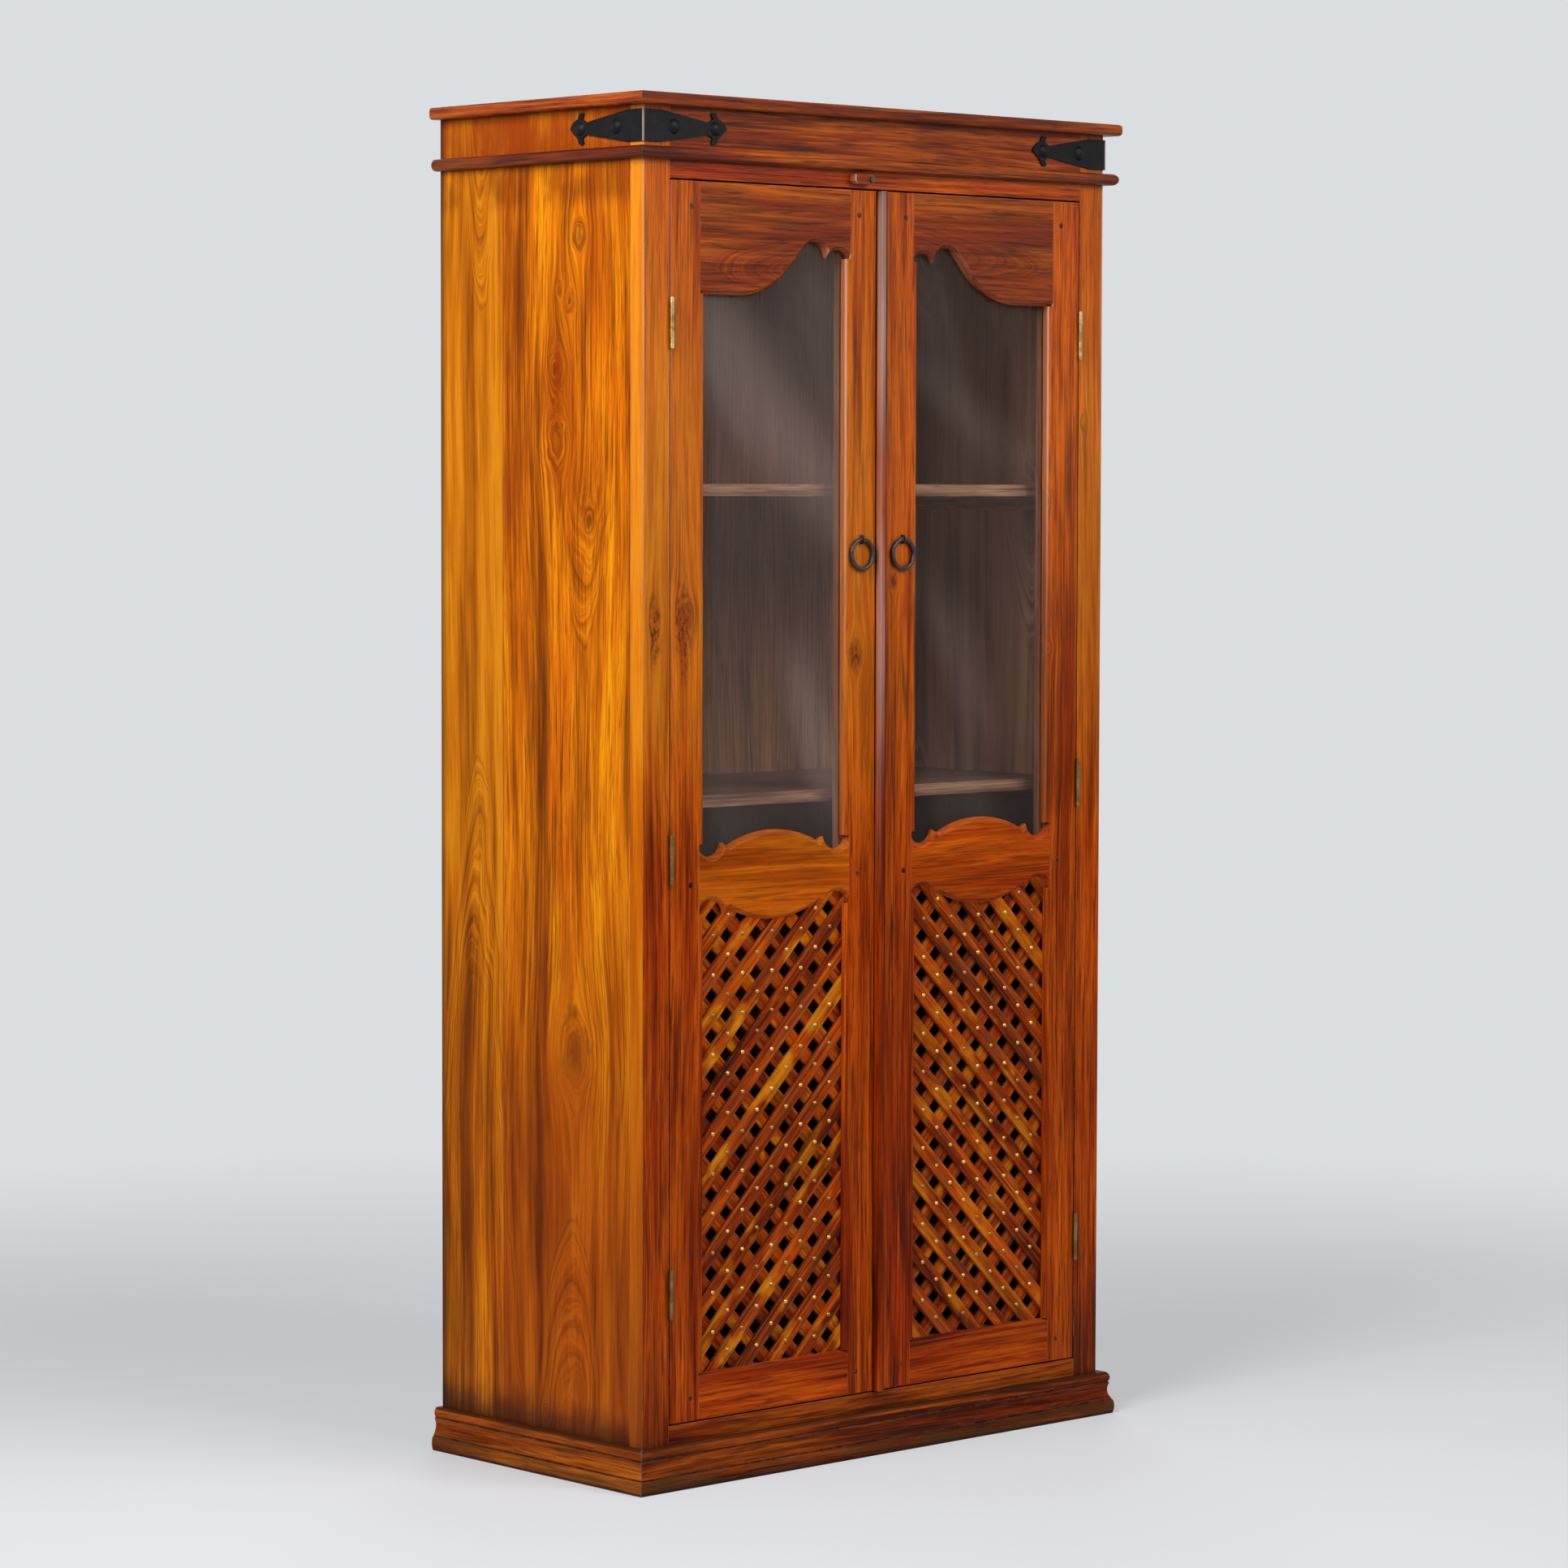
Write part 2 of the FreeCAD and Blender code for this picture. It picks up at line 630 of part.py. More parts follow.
def build_straps():
    axis = cornice_top + frieze_height / 2
    for hand, side in (("left", LEFT), ("right", RIGHT)):
        body = new_body(f"{hand}_corner_strap")
        face = strap_outline(lambda along: side * (half_width - along), axis)
        flank = strap_outline(lambda along: front + along, axis)
        pad(body, f"{hand}_strap_face", "XZ_Plane", (front - strap_thick, front),
            turned(face) if side == RIGHT else face)
        pad(body, f"{hand}_strap_flank", "YZ_Plane",
            sided(side, half_width, half_width + strap_thick), flank)
        keep(body)
        out = half_width + strap_thick
        nails = []
        for name, along, radius, rise in (("nail", nail_reach, nail_radius, nail_rise),
                                          ("boss", boss_reach, boss_radius, boss_rise)):
            face_spot = (side * (half_width - along), front - strap_thick, axis)
            nails.append(dome(f"{hand}_face_{name}", radius, rise, face_spot, TOWARDS_FRONT))
            flank_spot = (side * out, front + along, axis)
            nails.append(dome(f"{hand}_flank_{name}", radius, rise, flank_spot, Vector(side, 0, 0)))
        keep(group(f"{hand}_strap_nails", nails))


# Doors: stiles, shaped rails, glass, lattice and their beads

def lip(body, name, side, edge, way, depth, tall):
    """The rounded edge of a stile along an opening; way points from the opening to the stile."""
    corners = [(side * (edge + way * rebate), front),
               (side * (edge + way * edge_round), front, way * side * -QUARTER_BULGE * edge_round),
               (side * edge, front + edge_round),
               (side * edge, front + depth),
               (side * (edge + way * rebate), front + depth)]
    pad(body, name, "XY_Plane", tall, corners)


def build_stile(label, side, near, far, edge, way, foot, mortises, pegs):
    """A door stile from near to far of the middle, with its lips, mortises and peg holes."""
    body = new_body(label)
    corners = rectangle(sided(side, near, far), (front, door_back))
    pad(body, label + "_core", "XY_Plane", (door_low, door_top), corners)
    lip(body, label + "_glass_lip", side, edge, way, glass_setback, (mid_level + beak_rise, foot))
    lip(body, label + "_lattice_lip", side, edge, way, lattice_setback,
        (bottom_rail_top, mid_level - beak_rise))
    for name, (across, tall) in mortises.items():
        pocket(body, f"{label}_{name}_mortise", "XZ_Plane", (tenon_front, tenon_back),
               rectangle(across, tall))
    bore(body, label + "_peg_holes", (front, front + peg_depth), pegs, peg_radius)
    return body


def top_rail_outline(side):
    """From the inner shoulder along the lower edge: small arch, cusp, crest, climb, sweep and flat.

    The sweep leaves the flat edge without a break, and the climb and the crest go on from it the same way.
    """
    sweep_width = rail_length * sweep_share
    climb_width = rail_length * climb_share
    crest_width = rail_length * crest_share
    flat_start = outer_shoulder - rail_length * flat_share
    climb_start = flat_start - sweep_width
    crest_start = climb_start - climb_width
    cusp = crest_start - crest_width
    arch_bulge = (cusp - inner_shoulder) * arch_share_up
    sweep_rise = sweep_width * sweep_share_up
    half_slope = Size(f"atan({sweep_share_up})")
    sweep_chord = root(sweep_width * sweep_width + sweep_rise * sweep_rise)
    sweep_bulge = sweep_chord / 2 * Size(f"tan({half_slope / 2})")
    crest_rise = sweep_rise + climb_width * Size(f"tan({half_slope * 2})")
    fall = flat_level + crest_rise - cusp_level
    steep = half_slope * 2 + Size(f"atan({fall / crest_width})")
    crest_bulge = root(crest_width * crest_width + fall * fall) / 2 * Size(f"tan({steep / 2})")
    turn = -side
    return [(side * inner_shoulder, cusp_level, turn * arch_bulge),
            (side * cusp, cusp_level, turn * crest_bulge),
            (side * crest_start, flat_level + crest_rise),
            (side * climb_start, flat_level + sweep_rise, -turn * sweep_bulge),
            (side * flat_start, flat_level),
            (side * outer_shoulder, flat_level),
            (side * outer_shoulder, door_top),
            (side * inner_shoulder, door_top)]


def middle_rail_outline(side):
    """A bow between two points, with a scallop beyond each, above and below the axis."""
    turn = side
    near, far = side * inner_shoulder, side * outer_shoulder
    middle = side * door_middle
    below = [(near, -beak_rise, -turn * scallop_depth), (middle - side * beak_reach, -beak_rise),
             (middle - side * bow_reach, -bow_foot, turn * bow_bulge),
             (middle + side * bow_reach, -bow_foot), (middle + side * beak_reach, -beak_rise,
                                                      -turn * scallop_depth), (far, -beak_rise)]
    above = [(far, beak_rise, -turn * scallop_depth), (middle + side * beak_reach, beak_rise),
             (middle + side * bow_reach, bow_foot, turn * bow_bulge),
             (middle - side * bow_reach, bow_foot), (middle - side * beak_reach, beak_rise,
                                                     -turn * scallop_depth), (near, beak_rise)]
    return [(corner[0], mid_level + corner[1]) + corner[2:] for corner in below + above]


def bevel(body, board, name, low, high):
    """Bevel the front edges of a board's outline that lie between two levels."""
    doc.recompute()
    edges = []
    for place, edge in enumerate(board.Shape.Edges, start=1):
        box = edge.BoundBox
        level = edge.valueAt((edge.FirstParameter + edge.LastParameter) / 2).z
        at_front = box.YMax < front.now() + 0.01
        upright = box.XLength < 0.01
        if at_front and not upright and low.now() - 0.01 < level < high.now() - 0.01:
            edges.append(f"Edge{place}")
    item = body.newObject("PartDesign::Chamfer", name)
    item.Base = (board, edges)
    tie(item, {"Size": rail_bevel})


def build_rail(label, outline, eased, rebates, tenons, pegs):
    body = new_body(label)
    board = pad(body, label + "_board", "XZ_Plane", (front, door_back), outline)
    bevel(body, board, label + "_bevel", *eased)
    for name, (setback, across, tall) in rebates.items():
        pocket(body, f"{label}_{name}_rebate", "XZ_Plane", (front + setback, door_back),
               rectangle(across, tall))
    for name, (across, tall) in tenons.items():
        pad(body, f"{label}_{name}_tenon", "XZ_Plane", (tenon_front, tenon_back),
            rectangle(across, tall))
    bore(body, label + "_peg_holes", (front, front + peg_depth), pegs, peg_radius)
    return keep(body)


def bead_frame(label, side, deep, low, high):
    """Four strips in a rebate that hold the glass or the lattice from behind."""
    return [block(label + "_inner_strip", sided(side, inner_shoulder, meeting_reach), deep, (low, high)),
            block(label + "_outer_strip", sided(side, outer_edge, outer_shoulder), deep, (low, high)),
            block(label + "_low_strip", sided(side, meeting_reach, outer_edge), deep, (low, low + rebate)),
            block(label + "_high_strip", sided(side, meeting_reach, outer_edge), deep,
                  (high - rebate, high))]


def build_lattice(label, side, lean, deep):
    """Parallel slats at 45 degrees, trimmed to the rebate; lean is 1 for a rise to the right."""
    width = outer_shoulder - inner_shoulder - lattice_clear * 2
    tall = lattice_top - lattice_low - lattice_clear * 2
    middle_x, middle_z = side * door_middle, (lattice_top + lattice_low) / 2
    length = (width + tall) * DIAGONAL + slat_width
    step = slat_pitch / DIAGONAL
    beside = math.floor((width.now() + tall.now()) / 2 / step.now() + 0.35)
    slats = []
    for place in range(-beside, beside + 1):
        slat = doc.addObject("Part::Box", f"{label}_{place + beside + 1}")
        slat.Placement = Placement(Vector(), Rotation(Vector(0, 1, 0), -45 * lean))
        tie(slat, {"Length": length, "Width": Size(deep[1]) - deep[0], "Height": slat_width})
        back_up = length / 2 * DIAGONAL
        aside = slat_width / 2 * DIAGONAL
        put(slat, middle_x - back_up + lean * aside, deep[0],
            middle_z + place * step - lean * back_up - aside)
        slats.append(slat)
    across = sided(side, inner_shoulder + lattice_clear, outer_shoulder - lattice_clear)
    panel = block(label + "_panel", across, deep, (lattice_low + lattice_clear, lattice_top - lattice_clear))
    item = doc.addObject("Part::Common", label)
    item.Base = group(label + "_run", slats)
    item.Tool = panel
    return keep(item)


def build_door(hand, side, meeting_edge, ring_reach):
    name = hand + "_door"
    tenon_levels = {
        "top": (glass_top + tenon_shoulder, door_top - tenon_shoulder * 2),
        "middle": (lattice_top + tenon_shoulder / 2, glass_low - tenon_shoulder / 2),
        "bottom": (door_low + tenon_shoulder * 2, lattice_low - tenon_shoulder),
    }
    inner_span = sided(side, inner_shoulder - tenon_length, inner_shoulder)
    outer_span = sided(side, outer_shoulder, outer_shoulder + tenon_length)
    inner_peg = side * (inner_shoulder - tenon_length / 2)
    outer_peg = side * (outer_shoulder + tenon_length / 2)
    peg_levels = {level: (low + high) / 2 for level, (low, high) in tenon_levels.items()}
    peg_levels["middle"] = peg_levels["middle"] - mid_peg_drop

    keep(build_stile(f"{name}_hinge_stile", side, outer_shoulder, hinge_edge, outer_edge, 1,
                     flat_level,
                     {level: (outer_span, tall) for level, tall in tenon_levels.items()},
                     [(outer_peg, level) for level in peg_levels.values()]))
    meeting = build_stile(f"{name}_meeting_stile", side, meeting_edge, inner_shoulder, meeting_reach, -1,
                          cusp_level,
                          {level: (inner_span, tall) for level, tall in tenon_levels.items()},
                          [(inner_peg, level) for level in peg_levels.values()])
    leg = ring_bar + staple_fit + staple_bar
    bore(meeting, f"{name}_staple_holes", (front, front + staple_depth),
         [(side * ring_reach, ring_level - leg), (side * ring_reach, ring_level + leg)], staple_bar)
    keep(meeting)

    past = rebate * 2
    wide = sided(side, inner_shoulder - past, outer_shoulder + past)
    bow = bow_foot + bow_bulge + past
    rebates = {
        "top": {"glass": (glass_setback, wide, (flat_level - past, glass_top))},
        "middle": {"glass": (glass_setback, wide, (glass_low, mid_level + bow)),
                   "lattice": (lattice_setback, wide, (mid_level - bow, lattice_top))},
        "bottom": {"lattice": (lattice_setback, wide, (lattice_low, bottom_rail_top + past))},
    }
    opening = sided(side, inner_shoulder, outer_shoulder)
    outlines = {
        "top": (top_rail_outline(side), (flat_level, door_top)),
        "middle": (middle_rail_outline(side), (mid_level - bow, mid_level + bow)),
        "bottom": (rectangle(opening, (door_low, bottom_rail_top)),
                   (bottom_rail_top, bottom_rail_top + past)),
    }
    for level, (outline, eased) in outlines.items():
        tall = tenon_levels[level]
        build_rail(f"{name}_{level}_rail", outline, eased, rebates[level],
                   {"inner": (inner_span, tall), "outer": (outer_span, tall)},
                   [(inner_peg, peg_levels[level]), (outer_peg, peg_levels[level])])

    pegs = []
    for level, tall in peg_levels.items():
        for place, across in (("inner", inner_peg), ("outer", outer_peg)):
            start = (across, front, tall)
            pegs.append(rod(f"{name}_{level}_{place}_peg", peg_radius, peg_depth, start, Vector(0, 1, 0)))
    keep(group(f"{name}_pegs", pegs))

    pane = sided(side, inner_shoulder + glass_clear, outer_shoulder - glass_clear)
    keep(block(f"{name}_glass", pane, (glass_front, glass_back),
               (glass_low + glass_clear, glass_top - glass_clear)))
    lean = -side
    build_lattice(f"{name}_lattice_front", side, lean, (lattice_front, lattice_front + slat_thick))
    build_lattice(f"{name}_lattice_back", side, -lean, (lattice_front + slat_thick, lattice_back))
    strips = bead_frame(f"{name}_glass", side, (glass_back, door_back), glass_low, glass_top)
    strips += bead_frame(f"{name}_lattice", side, (lattice_back, door_back), lattice_low, lattice_top)
    keep(group(f"{name}_beads", strips))


def build_meeting_bead():
    """The bead along the right door's edge, as deep as the door and proud of both doors."""
    body = new_body("right_door_meeting_bead")
    nose = front - bead_proud
    corners = [(-bead_width, door_back), (-bead_width, nose + bead_round, QUARTER_BULGE * -bead_round),
               (bead_round - bead_width, nose), (-bead_round, nose, QUARTER_BULGE * -bead_round),
               (Size(0), nose + bead_round), (Size(0), door_back)]
    pad(body, "meeting_bead_run", "XY_Plane", (door_low, door_top), turned(corners))
    keep(body)


# Hinges: each leaf is a plate in the gap with its own knuckles round the pin

def build_hinges(hand, side, middle_hinge):
    axis_x = side * (opening_half - door_gap / 2)
    axis_y = front - knuckle_radius - barrel_stand
    pitch = hinge_length / knuckle_count
    plates = {
        "frame": (1, sided(side, opening_half - leaf_thick, opening_half)),
        "door": (0, sided(side, hinge_edge, hinge_edge + leaf_thick)),
    }
    pins = []
    for leaf, (first, across) in plates.items():
        leaves = []
        for level, middle in (("upper", upper_hinge), ("middle", middle_hinge), ("lower", lower_hinge)):
            label = f"{hand}_{level}_{leaf}_leaf"
            low = middle - hinge_length / 2
            parts = [block(label + "_plate", across, (front + leaf_clear, front + leaf_reach),
                           (low, low + hinge_length))]
            for place in range(first, round(knuckle_count.now()), 2):
                start = low + pitch * place + knuckle_gap / 2
                end = low + pitch * (place + 1) - knuckle_gap / 2
                parts.append(rod(f"{label}_knuckle_{place + 1}", knuckle_radius, end - start,
                                 (axis_x, axis_y, start)))
                parts.append(block(f"{label}_neck_{place + 1}", across, (axis_y, front + leaf_clear),
                                   (start, end)))
            hole = rod(label + "_bore", pin_radius + pin_fit, hinge_length, (axis_x, axis_y, low))
            leaves.append(cut(label, fuse(label + "_blank", parts), [hole]))
            if leaf == "frame":
                pins.append(rod(f"{hand}_{level}_hinge_pin", pin_radius, hinge_length + pin_end * 2,
                                (axis_x, axis_y, low - pin_end)))
        keep(group(f"{hand}_hinge_{leaf}_leaves", leaves))
    return pins


# Ring pulls on their staples, and the turn button on its screw

def build_ring(hand, side, ring_reach):
    across, hang = side * ring_reach, front - ring_bar - ring_stand
    ring = doc.addObject("Part::Torus", f"{hand}_ring_pull")
    ring.Placement = Placement(Vector(), Rotation(Vector(1, 0, 0), 90))
    tie(ring, {"Radius1": ring_radius, "Radius2": ring_bar})
    put(ring, across, hang, ring_level - ring_radius)
    keep(ring)

    leg = ring_bar + staple_fit + staple_bar
    bow = doc.addObject("Part::Torus", f"{hand}_staple_bow")
    bow.Angle3 = 180
    bow.Placement = Placement(Vector(), Rotation(Vector(0, 0, 1), Vector(0, -1, 0), Vector(1, 0, 0), "ZXY"))
    tie(bow, {"Radius1": leg, "Radius2": staple_bar})
    put(bow, across, hang, ring_level)
    legs = [rod(f"{hand}_staple_{name}_leg", staple_bar, front + staple_depth - hang,
                (across, hang, ring_level + way * leg), Vector(0, 1, 0))
            for name, way in (("lower", -1), ("upper", 1))]
    keep(fuse(f"{hand}_ring_staple", [bow] + legs))


def build_button():
    """A wooden turn button that lies along the rail, its free end to the left."""
    level = opening_top + top_rail_show / 2
    heel = button_width / 2
    toe = heel - button_length - button_reach
    rear = front - button_stand
    nose = rear - button_thick
    body = new_body("turn_button")
    corners = [(toe, level - heel + button_toe), (toe + button_toe, level - heel),
               (-button_reach, level - heel, QUARTER_BULGE * heel),
               (heel - button_reach, level, QUARTER_BULGE * heel),
               (-button_reach, level + heel), (toe, level + heel)]
    pad(body, "button_block", "XZ_Plane", (nose, rear), corners)
    bore(body, "button_bore", (nose, rear), [(-button_reach, level)], screw_radius + screw_fit)
    keep(body)
    shank = rod("button_screw_shank", screw_radius, front + screw_depth - nose + button_stand,
                (-button_reach, nose - button_stand, level), Vector(0, 1, 0))
    head = rod("button_screw_head", screw_head, screw_head_thick,
               (-button_reach, nose - button_stand - screw_head_thick, level), Vector(0, 1, 0))
    keep(fuse("button_screw", [shank, head]))


def check_and_write():
    """Stop on any failed object or bad solid, then write one file for each piece."""
    failed = [item.Name for item in doc.Objects if {"Invalid", "Error"} & set(item.State)]
    if failed:
        raise RuntimeError("not computed: " + ", ".join(failed))
    for piece in pieces:
        if piece.Shape.isNull() or not piece.Shape.isValid() or not piece.Shape.Solids:
            raise RuntimeError("no valid solid in " + piece.Label)
    os.makedirs("parts", exist_ok=True)
    for piece in pieces:
        piece.Shape.exportStep(f"parts/{piece.Label}.step")
    print(len(pieces), "pieces,", sum(len(piece.Shape.Solids) for piece in pieces), "solids")


build_carcass()
build_face_frame()
build_top()
build_mouldings()
build_straps()
build_door("left", LEFT, bead_width + meeting_gap, left_ring_reach)
build_door("right", RIGHT, Size(0), right_ring_reach)
build_meeting_bead()
hinge_pins = build_hinges("left", LEFT, left_middle_hinge)
hinge_pins += build_hinges("right", RIGHT, right_middle_hinge)
keep(group("hinge_pins", hinge_pins))
build_ring("left", LEFT, left_ring_reach)
build_ring("right", RIGHT, right_ring_reach)
build_button()
doc.recompute()
check_and_write()
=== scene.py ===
"""The rosewood display cabinet, dressed: grained boards, glass, blackened iron and brass.

Lengths are metres in the cabinet's own frame: Z up, the doors face -Y, and the origin is
on the floor under the middle.
"""
from collections import namedtuple
import math

import bpy
from mathutils import Euler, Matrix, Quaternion, Vector


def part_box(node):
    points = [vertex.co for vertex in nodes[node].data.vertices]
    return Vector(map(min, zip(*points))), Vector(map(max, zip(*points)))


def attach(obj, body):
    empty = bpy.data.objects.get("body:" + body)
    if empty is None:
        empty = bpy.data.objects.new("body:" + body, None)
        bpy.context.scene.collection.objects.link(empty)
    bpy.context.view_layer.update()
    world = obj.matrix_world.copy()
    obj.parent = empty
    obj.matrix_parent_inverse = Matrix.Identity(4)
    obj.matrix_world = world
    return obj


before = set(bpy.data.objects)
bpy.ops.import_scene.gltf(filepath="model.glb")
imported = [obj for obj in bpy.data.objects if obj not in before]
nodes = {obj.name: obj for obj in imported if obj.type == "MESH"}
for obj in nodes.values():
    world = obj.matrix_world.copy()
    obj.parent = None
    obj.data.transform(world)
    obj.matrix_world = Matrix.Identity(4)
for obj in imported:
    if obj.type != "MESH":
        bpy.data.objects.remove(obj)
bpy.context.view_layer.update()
scene = bpy.context.scene
SIDES = ("left", "right")


# Shader tools

def shade(red, green, blue):
    """A colour written as the eye sees it, 0 to 255, in the renderer's own linear values."""
    values = []
    for part in (red, green, blue):
        part = part / 255
        values.append(part / 12.92 if part <= 0.04045 else ((part + 0.055) / 1.055) ** 2.4)
    return (*values, 1.0)


def chance(name):
    """A number from 0 to 1 that stays the same for a name."""
    total = sum((place + 3) * ord(letter) for place, letter in enumerate(name))
    return (total * 0.61803 + 0.75487) % 1.0


class Wire:
    """An output socket that can be calculated with like a number."""

    def __init__(self, finish, socket):
        self.finish = finish
        self.socket = socket

    def calc(self, operation, *values):
        return self.finish.node("ShaderNodeMath", {"operation": operation}, dict(enumerate(values)))

    def __add__(self, other):
        return self.calc("ADD", self, other)

    __radd__ = __add__

    def __sub__(self, other):
        return self.calc("SUBTRACT", self, other)

    def __rsub__(self, other):
        return self.calc("SUBTRACT", other, self)

    def __mul__(self, other):
        return self.calc("MULTIPLY", self, other)

    __rmul__ = __mul__

    def __truediv__(self, other):
        return self.calc("DIVIDE", self, other)

    def root(self):
        return self.calc("SQRT", self)

    def size(self):
        return self.calc("ABSOLUTE", self)

    def floor(self):
        return self.calc("FLOOR", self)

    def most(self, other):
        return self.calc("MAXIMUM", self, other)

    def fade(self, start, end, low=0.0, high=1.0):
        """A soft step: low up to start, high from end on."""
        settings = {"interpolation_type": "SMOOTHSTEP", "clamp": True}
        if end < start:
            start, end, low, high = end, start, high, low
        return self.finish.node("ShaderNodeMapRange", settings,
                                {"Value": self, "From Min": start, "From Max": end,
                                 "To Min": low, "To Max": high})


class Finish:
    """A material with one Principled shader, and tools that add nodes to it."""

    def __init__(self, name, **fixed):
        self.material = bpy.data.materials.new(name)
        self.material.use_nodes = True
        self.tree = self.material.node_tree
        self.shader = self.tree.nodes["Principled BSDF"]
        for socket, value in fixed.items():
            self.shader.inputs[socket.replace("_", " ")].default_value = value

    def node(self, kind, settings=None, sockets=None, output=0):
        """Add a node, make its settings, feed its sockets, and return one of its outputs."""
        item = self.tree.nodes.new(kind)
        for name, value in (settings or {}).items():
            setattr(item, name, value)
        self.feed(item, sockets or {})
        return Wire(self, item.outputs[output])

    def feed(self, item, sockets):
        for name, value in sockets.items():
            if isinstance(value, Wire):
                self.tree.links.new(value.socket, item.inputs[name])
            else:
                item.inputs[name].default_value = value

    def split(self, vector):
        parts = self.node("ShaderNodeSeparateXYZ", sockets={"Vector": vector}).socket.node
        return [Wire(self, socket) for socket in parts.outputs]

    def place(self):
        """The point on the cabinet, as three numbers."""
        return self.split(self.node("ShaderNodeTexCoord", output="Object"))

    def facing(self, axis, way):
        """One where the surface faces along an axis (0 to 2), towards its plus or minus end."""
        normal = self.split(self.node("ShaderNodeTexCoord", output="Normal"))
        return (normal[axis] * way).fade(0.45, 0.9)

    def noise(self, where, detail=2.0, rough=0.5):
        """Soft noise about 0.5; where is three numbers, or one for noise along a line."""
        sockets = {"Scale": 1.0, "Detail": detail, "Roughness": rough}
        if isinstance(where, Wire):
            return self.node("ShaderNodeTexNoise", {"noise_dimensions": "1D"}, {"W": where, **sockets})
        vector = self.node("ShaderNodeCombineXYZ", sockets=dict(enumerate(where)))
        return self.node("ShaderNodeTexNoise", {"noise_dimensions": "3D"}, {"Vector": vector, **sockets})

    def ramp(self, factor, stops):
        """A colour for each place of factor, from pairs of place and colour."""
        item = self.node("ShaderNodeValToRGB", sockets={"Fac": factor})
        band = item.socket.node.color_ramp
        while len(band.elements) < len(stops):
            band.elements.new(0.5)
        for element, (where, colour) in zip(band.elements, stops):
            element.position = where
            element.color = colour
        return item

    def blend(self, amount, first, second, how="MIX"):
        """Mix two colours by amount."""
        settings = {"data_type": "RGBA", "blend_type": how}
        return self.node("ShaderNodeMix", settings, {0: amount, 6: first, 7: second}, output=2)

    def stain(self, amount, colour, how="MIX"):
        """Lay another colour over the material's own, by amount."""
        self.colour = self.blend(amount, self.colour, colour, how)

    def relief(self, height, depth, **more):
        """Raise the surface by depth metres where height is one."""
        normal = self.node("ShaderNodeBump", sockets={"Height": height, "Distance": depth, **more})
        self.feed(self.shader, {"Normal": normal})


def dress(node, finish):
    """Give a CAD node or a new piece its material."""
    item = nodes[node] if isinstance(node, str) else node
    item.data.materials.clear()
    item.data.materials.append(finish.material)


# Rosewood

Tones = namedtuple("Tones", "line low middle high warm")
HONEY = Tones(line=shade(126, 56, 2), low=shade(182, 90, 2), middle=shade(214, 120, 4),
              high=shade(232, 150, 12), warm=shade(196, 82, 0))
TAWNY = Tones(line=shade(106, 52, 4), low=shade(158, 84, 4), middle=shade(190, 108, 8),
              high=shade(212, 134, 20), warm=shade(170, 80, 2))
DUSKY = Tones(line=shade(92, 36, 2), low=shade(136, 54, 2), middle=shade(158, 68, 2),
              high=shade(178, 84, 6), warm=shade(150, 56, 0))
SAPWOOD = Tones(line=shade(164, 70, 0), low=shade(190, 93, 0), middle=shade(206, 110, 2),
                high=shade(220, 132, 10), warm=shade(188, 85, 0))
RUSSET = Tones(line=shade(68, 21, 6), low=shade(134, 41, 0), middle=shade(170, 60, 2),
               high=shade(198, 85, 8), warm=shade(148, 38, 0))
UMBER = Tones(line=shade(48, 18, 10), low=shade(102, 36, 4), middle=shade(140, 53, 6),
              high=shade(176, 84, 14), warm=shade(108, 30, 4))
GRIMY = Tones(line=shade(66, 28, 8), low=shade(132, 58, 6), middle=shade(172, 82, 11),
              high=shade(200, 108, 26), warm=shade(156, 56, 4))
SHADED = Tones(line=shade(84, 54, 42), low=shade(134, 92, 72), middle=shade(168, 120, 94),
               high=shade(190, 142, 112), warm=shade(150, 94, 70))
PLUM = Tones(line=shade(44, 20, 14), low=shade(74, 32, 14), middle=shade(104, 46, 18),
             high=shade(138, 68, 28), warm=shade(88, 30, 12))
# Pale: wear, and a painted sheen on lips and beads
WORN_AND_SHEEN = shade(200, 132, 92)
# Painted highlight on arrises, on the meeting bead and along the straps' fold
PAINTED_HIGHLIGHT = shade(216, 190, 180)
# Dark brown: dirt, dark joints and nail marks, and painted shade in corners, grooves and along edges
DIRT_AND_SHADE = shade(46, 24, 14)
OLIVE = shade(78, 54, 26)
# Painted shade on the top faces of the shelves and other inner boards
TOP_FACE_SHADE = shade(74, 54, 44)
# Near black: painted shade inside the cupboard, and the dark joint strips of the back
SOOT_AND_SHADE = shade(20, 15, 12)
FILLER = shade(120, 96, 80)
IRON = shade(21, 20, 22)

KNOT_STRETCH = 0.55
KNOT_REACH = 1.8
WARP_LIMIT = 0.012
KNOT_HEART = shade(66, 22, 8)
ARCH_RINGS = 26.0
ARRIS = 0.0014
GRAIN_DEPTH = 0.00014
# Heights between which the wax turns from rubbed off to whole
WAXED = (0.75, 1.5)
GRAIN_SHIFT = 9.0
BOARD_SHIFT = 3.7
HALF_ROOT = math.sqrt(0.5)

# How far along the grain, across it and into the board a point lies
GRAIN = {"X": lambda x, y, z: (x, z, y),
         "Y": lambda x, y, z: (y, z, x),
         "Z": lambda x, y, z: (z, x, y),
         "side": lambda x, y, z: (z, y, x),
         "/": lambda x, y, z: ((x + z) * HALF_ROOT, (x - z) * HALF_ROOT, y),
         "\\": lambda x, y, z: ((x - z) * HALF_ROOT, (x + z) * HALF_ROOT, y)}


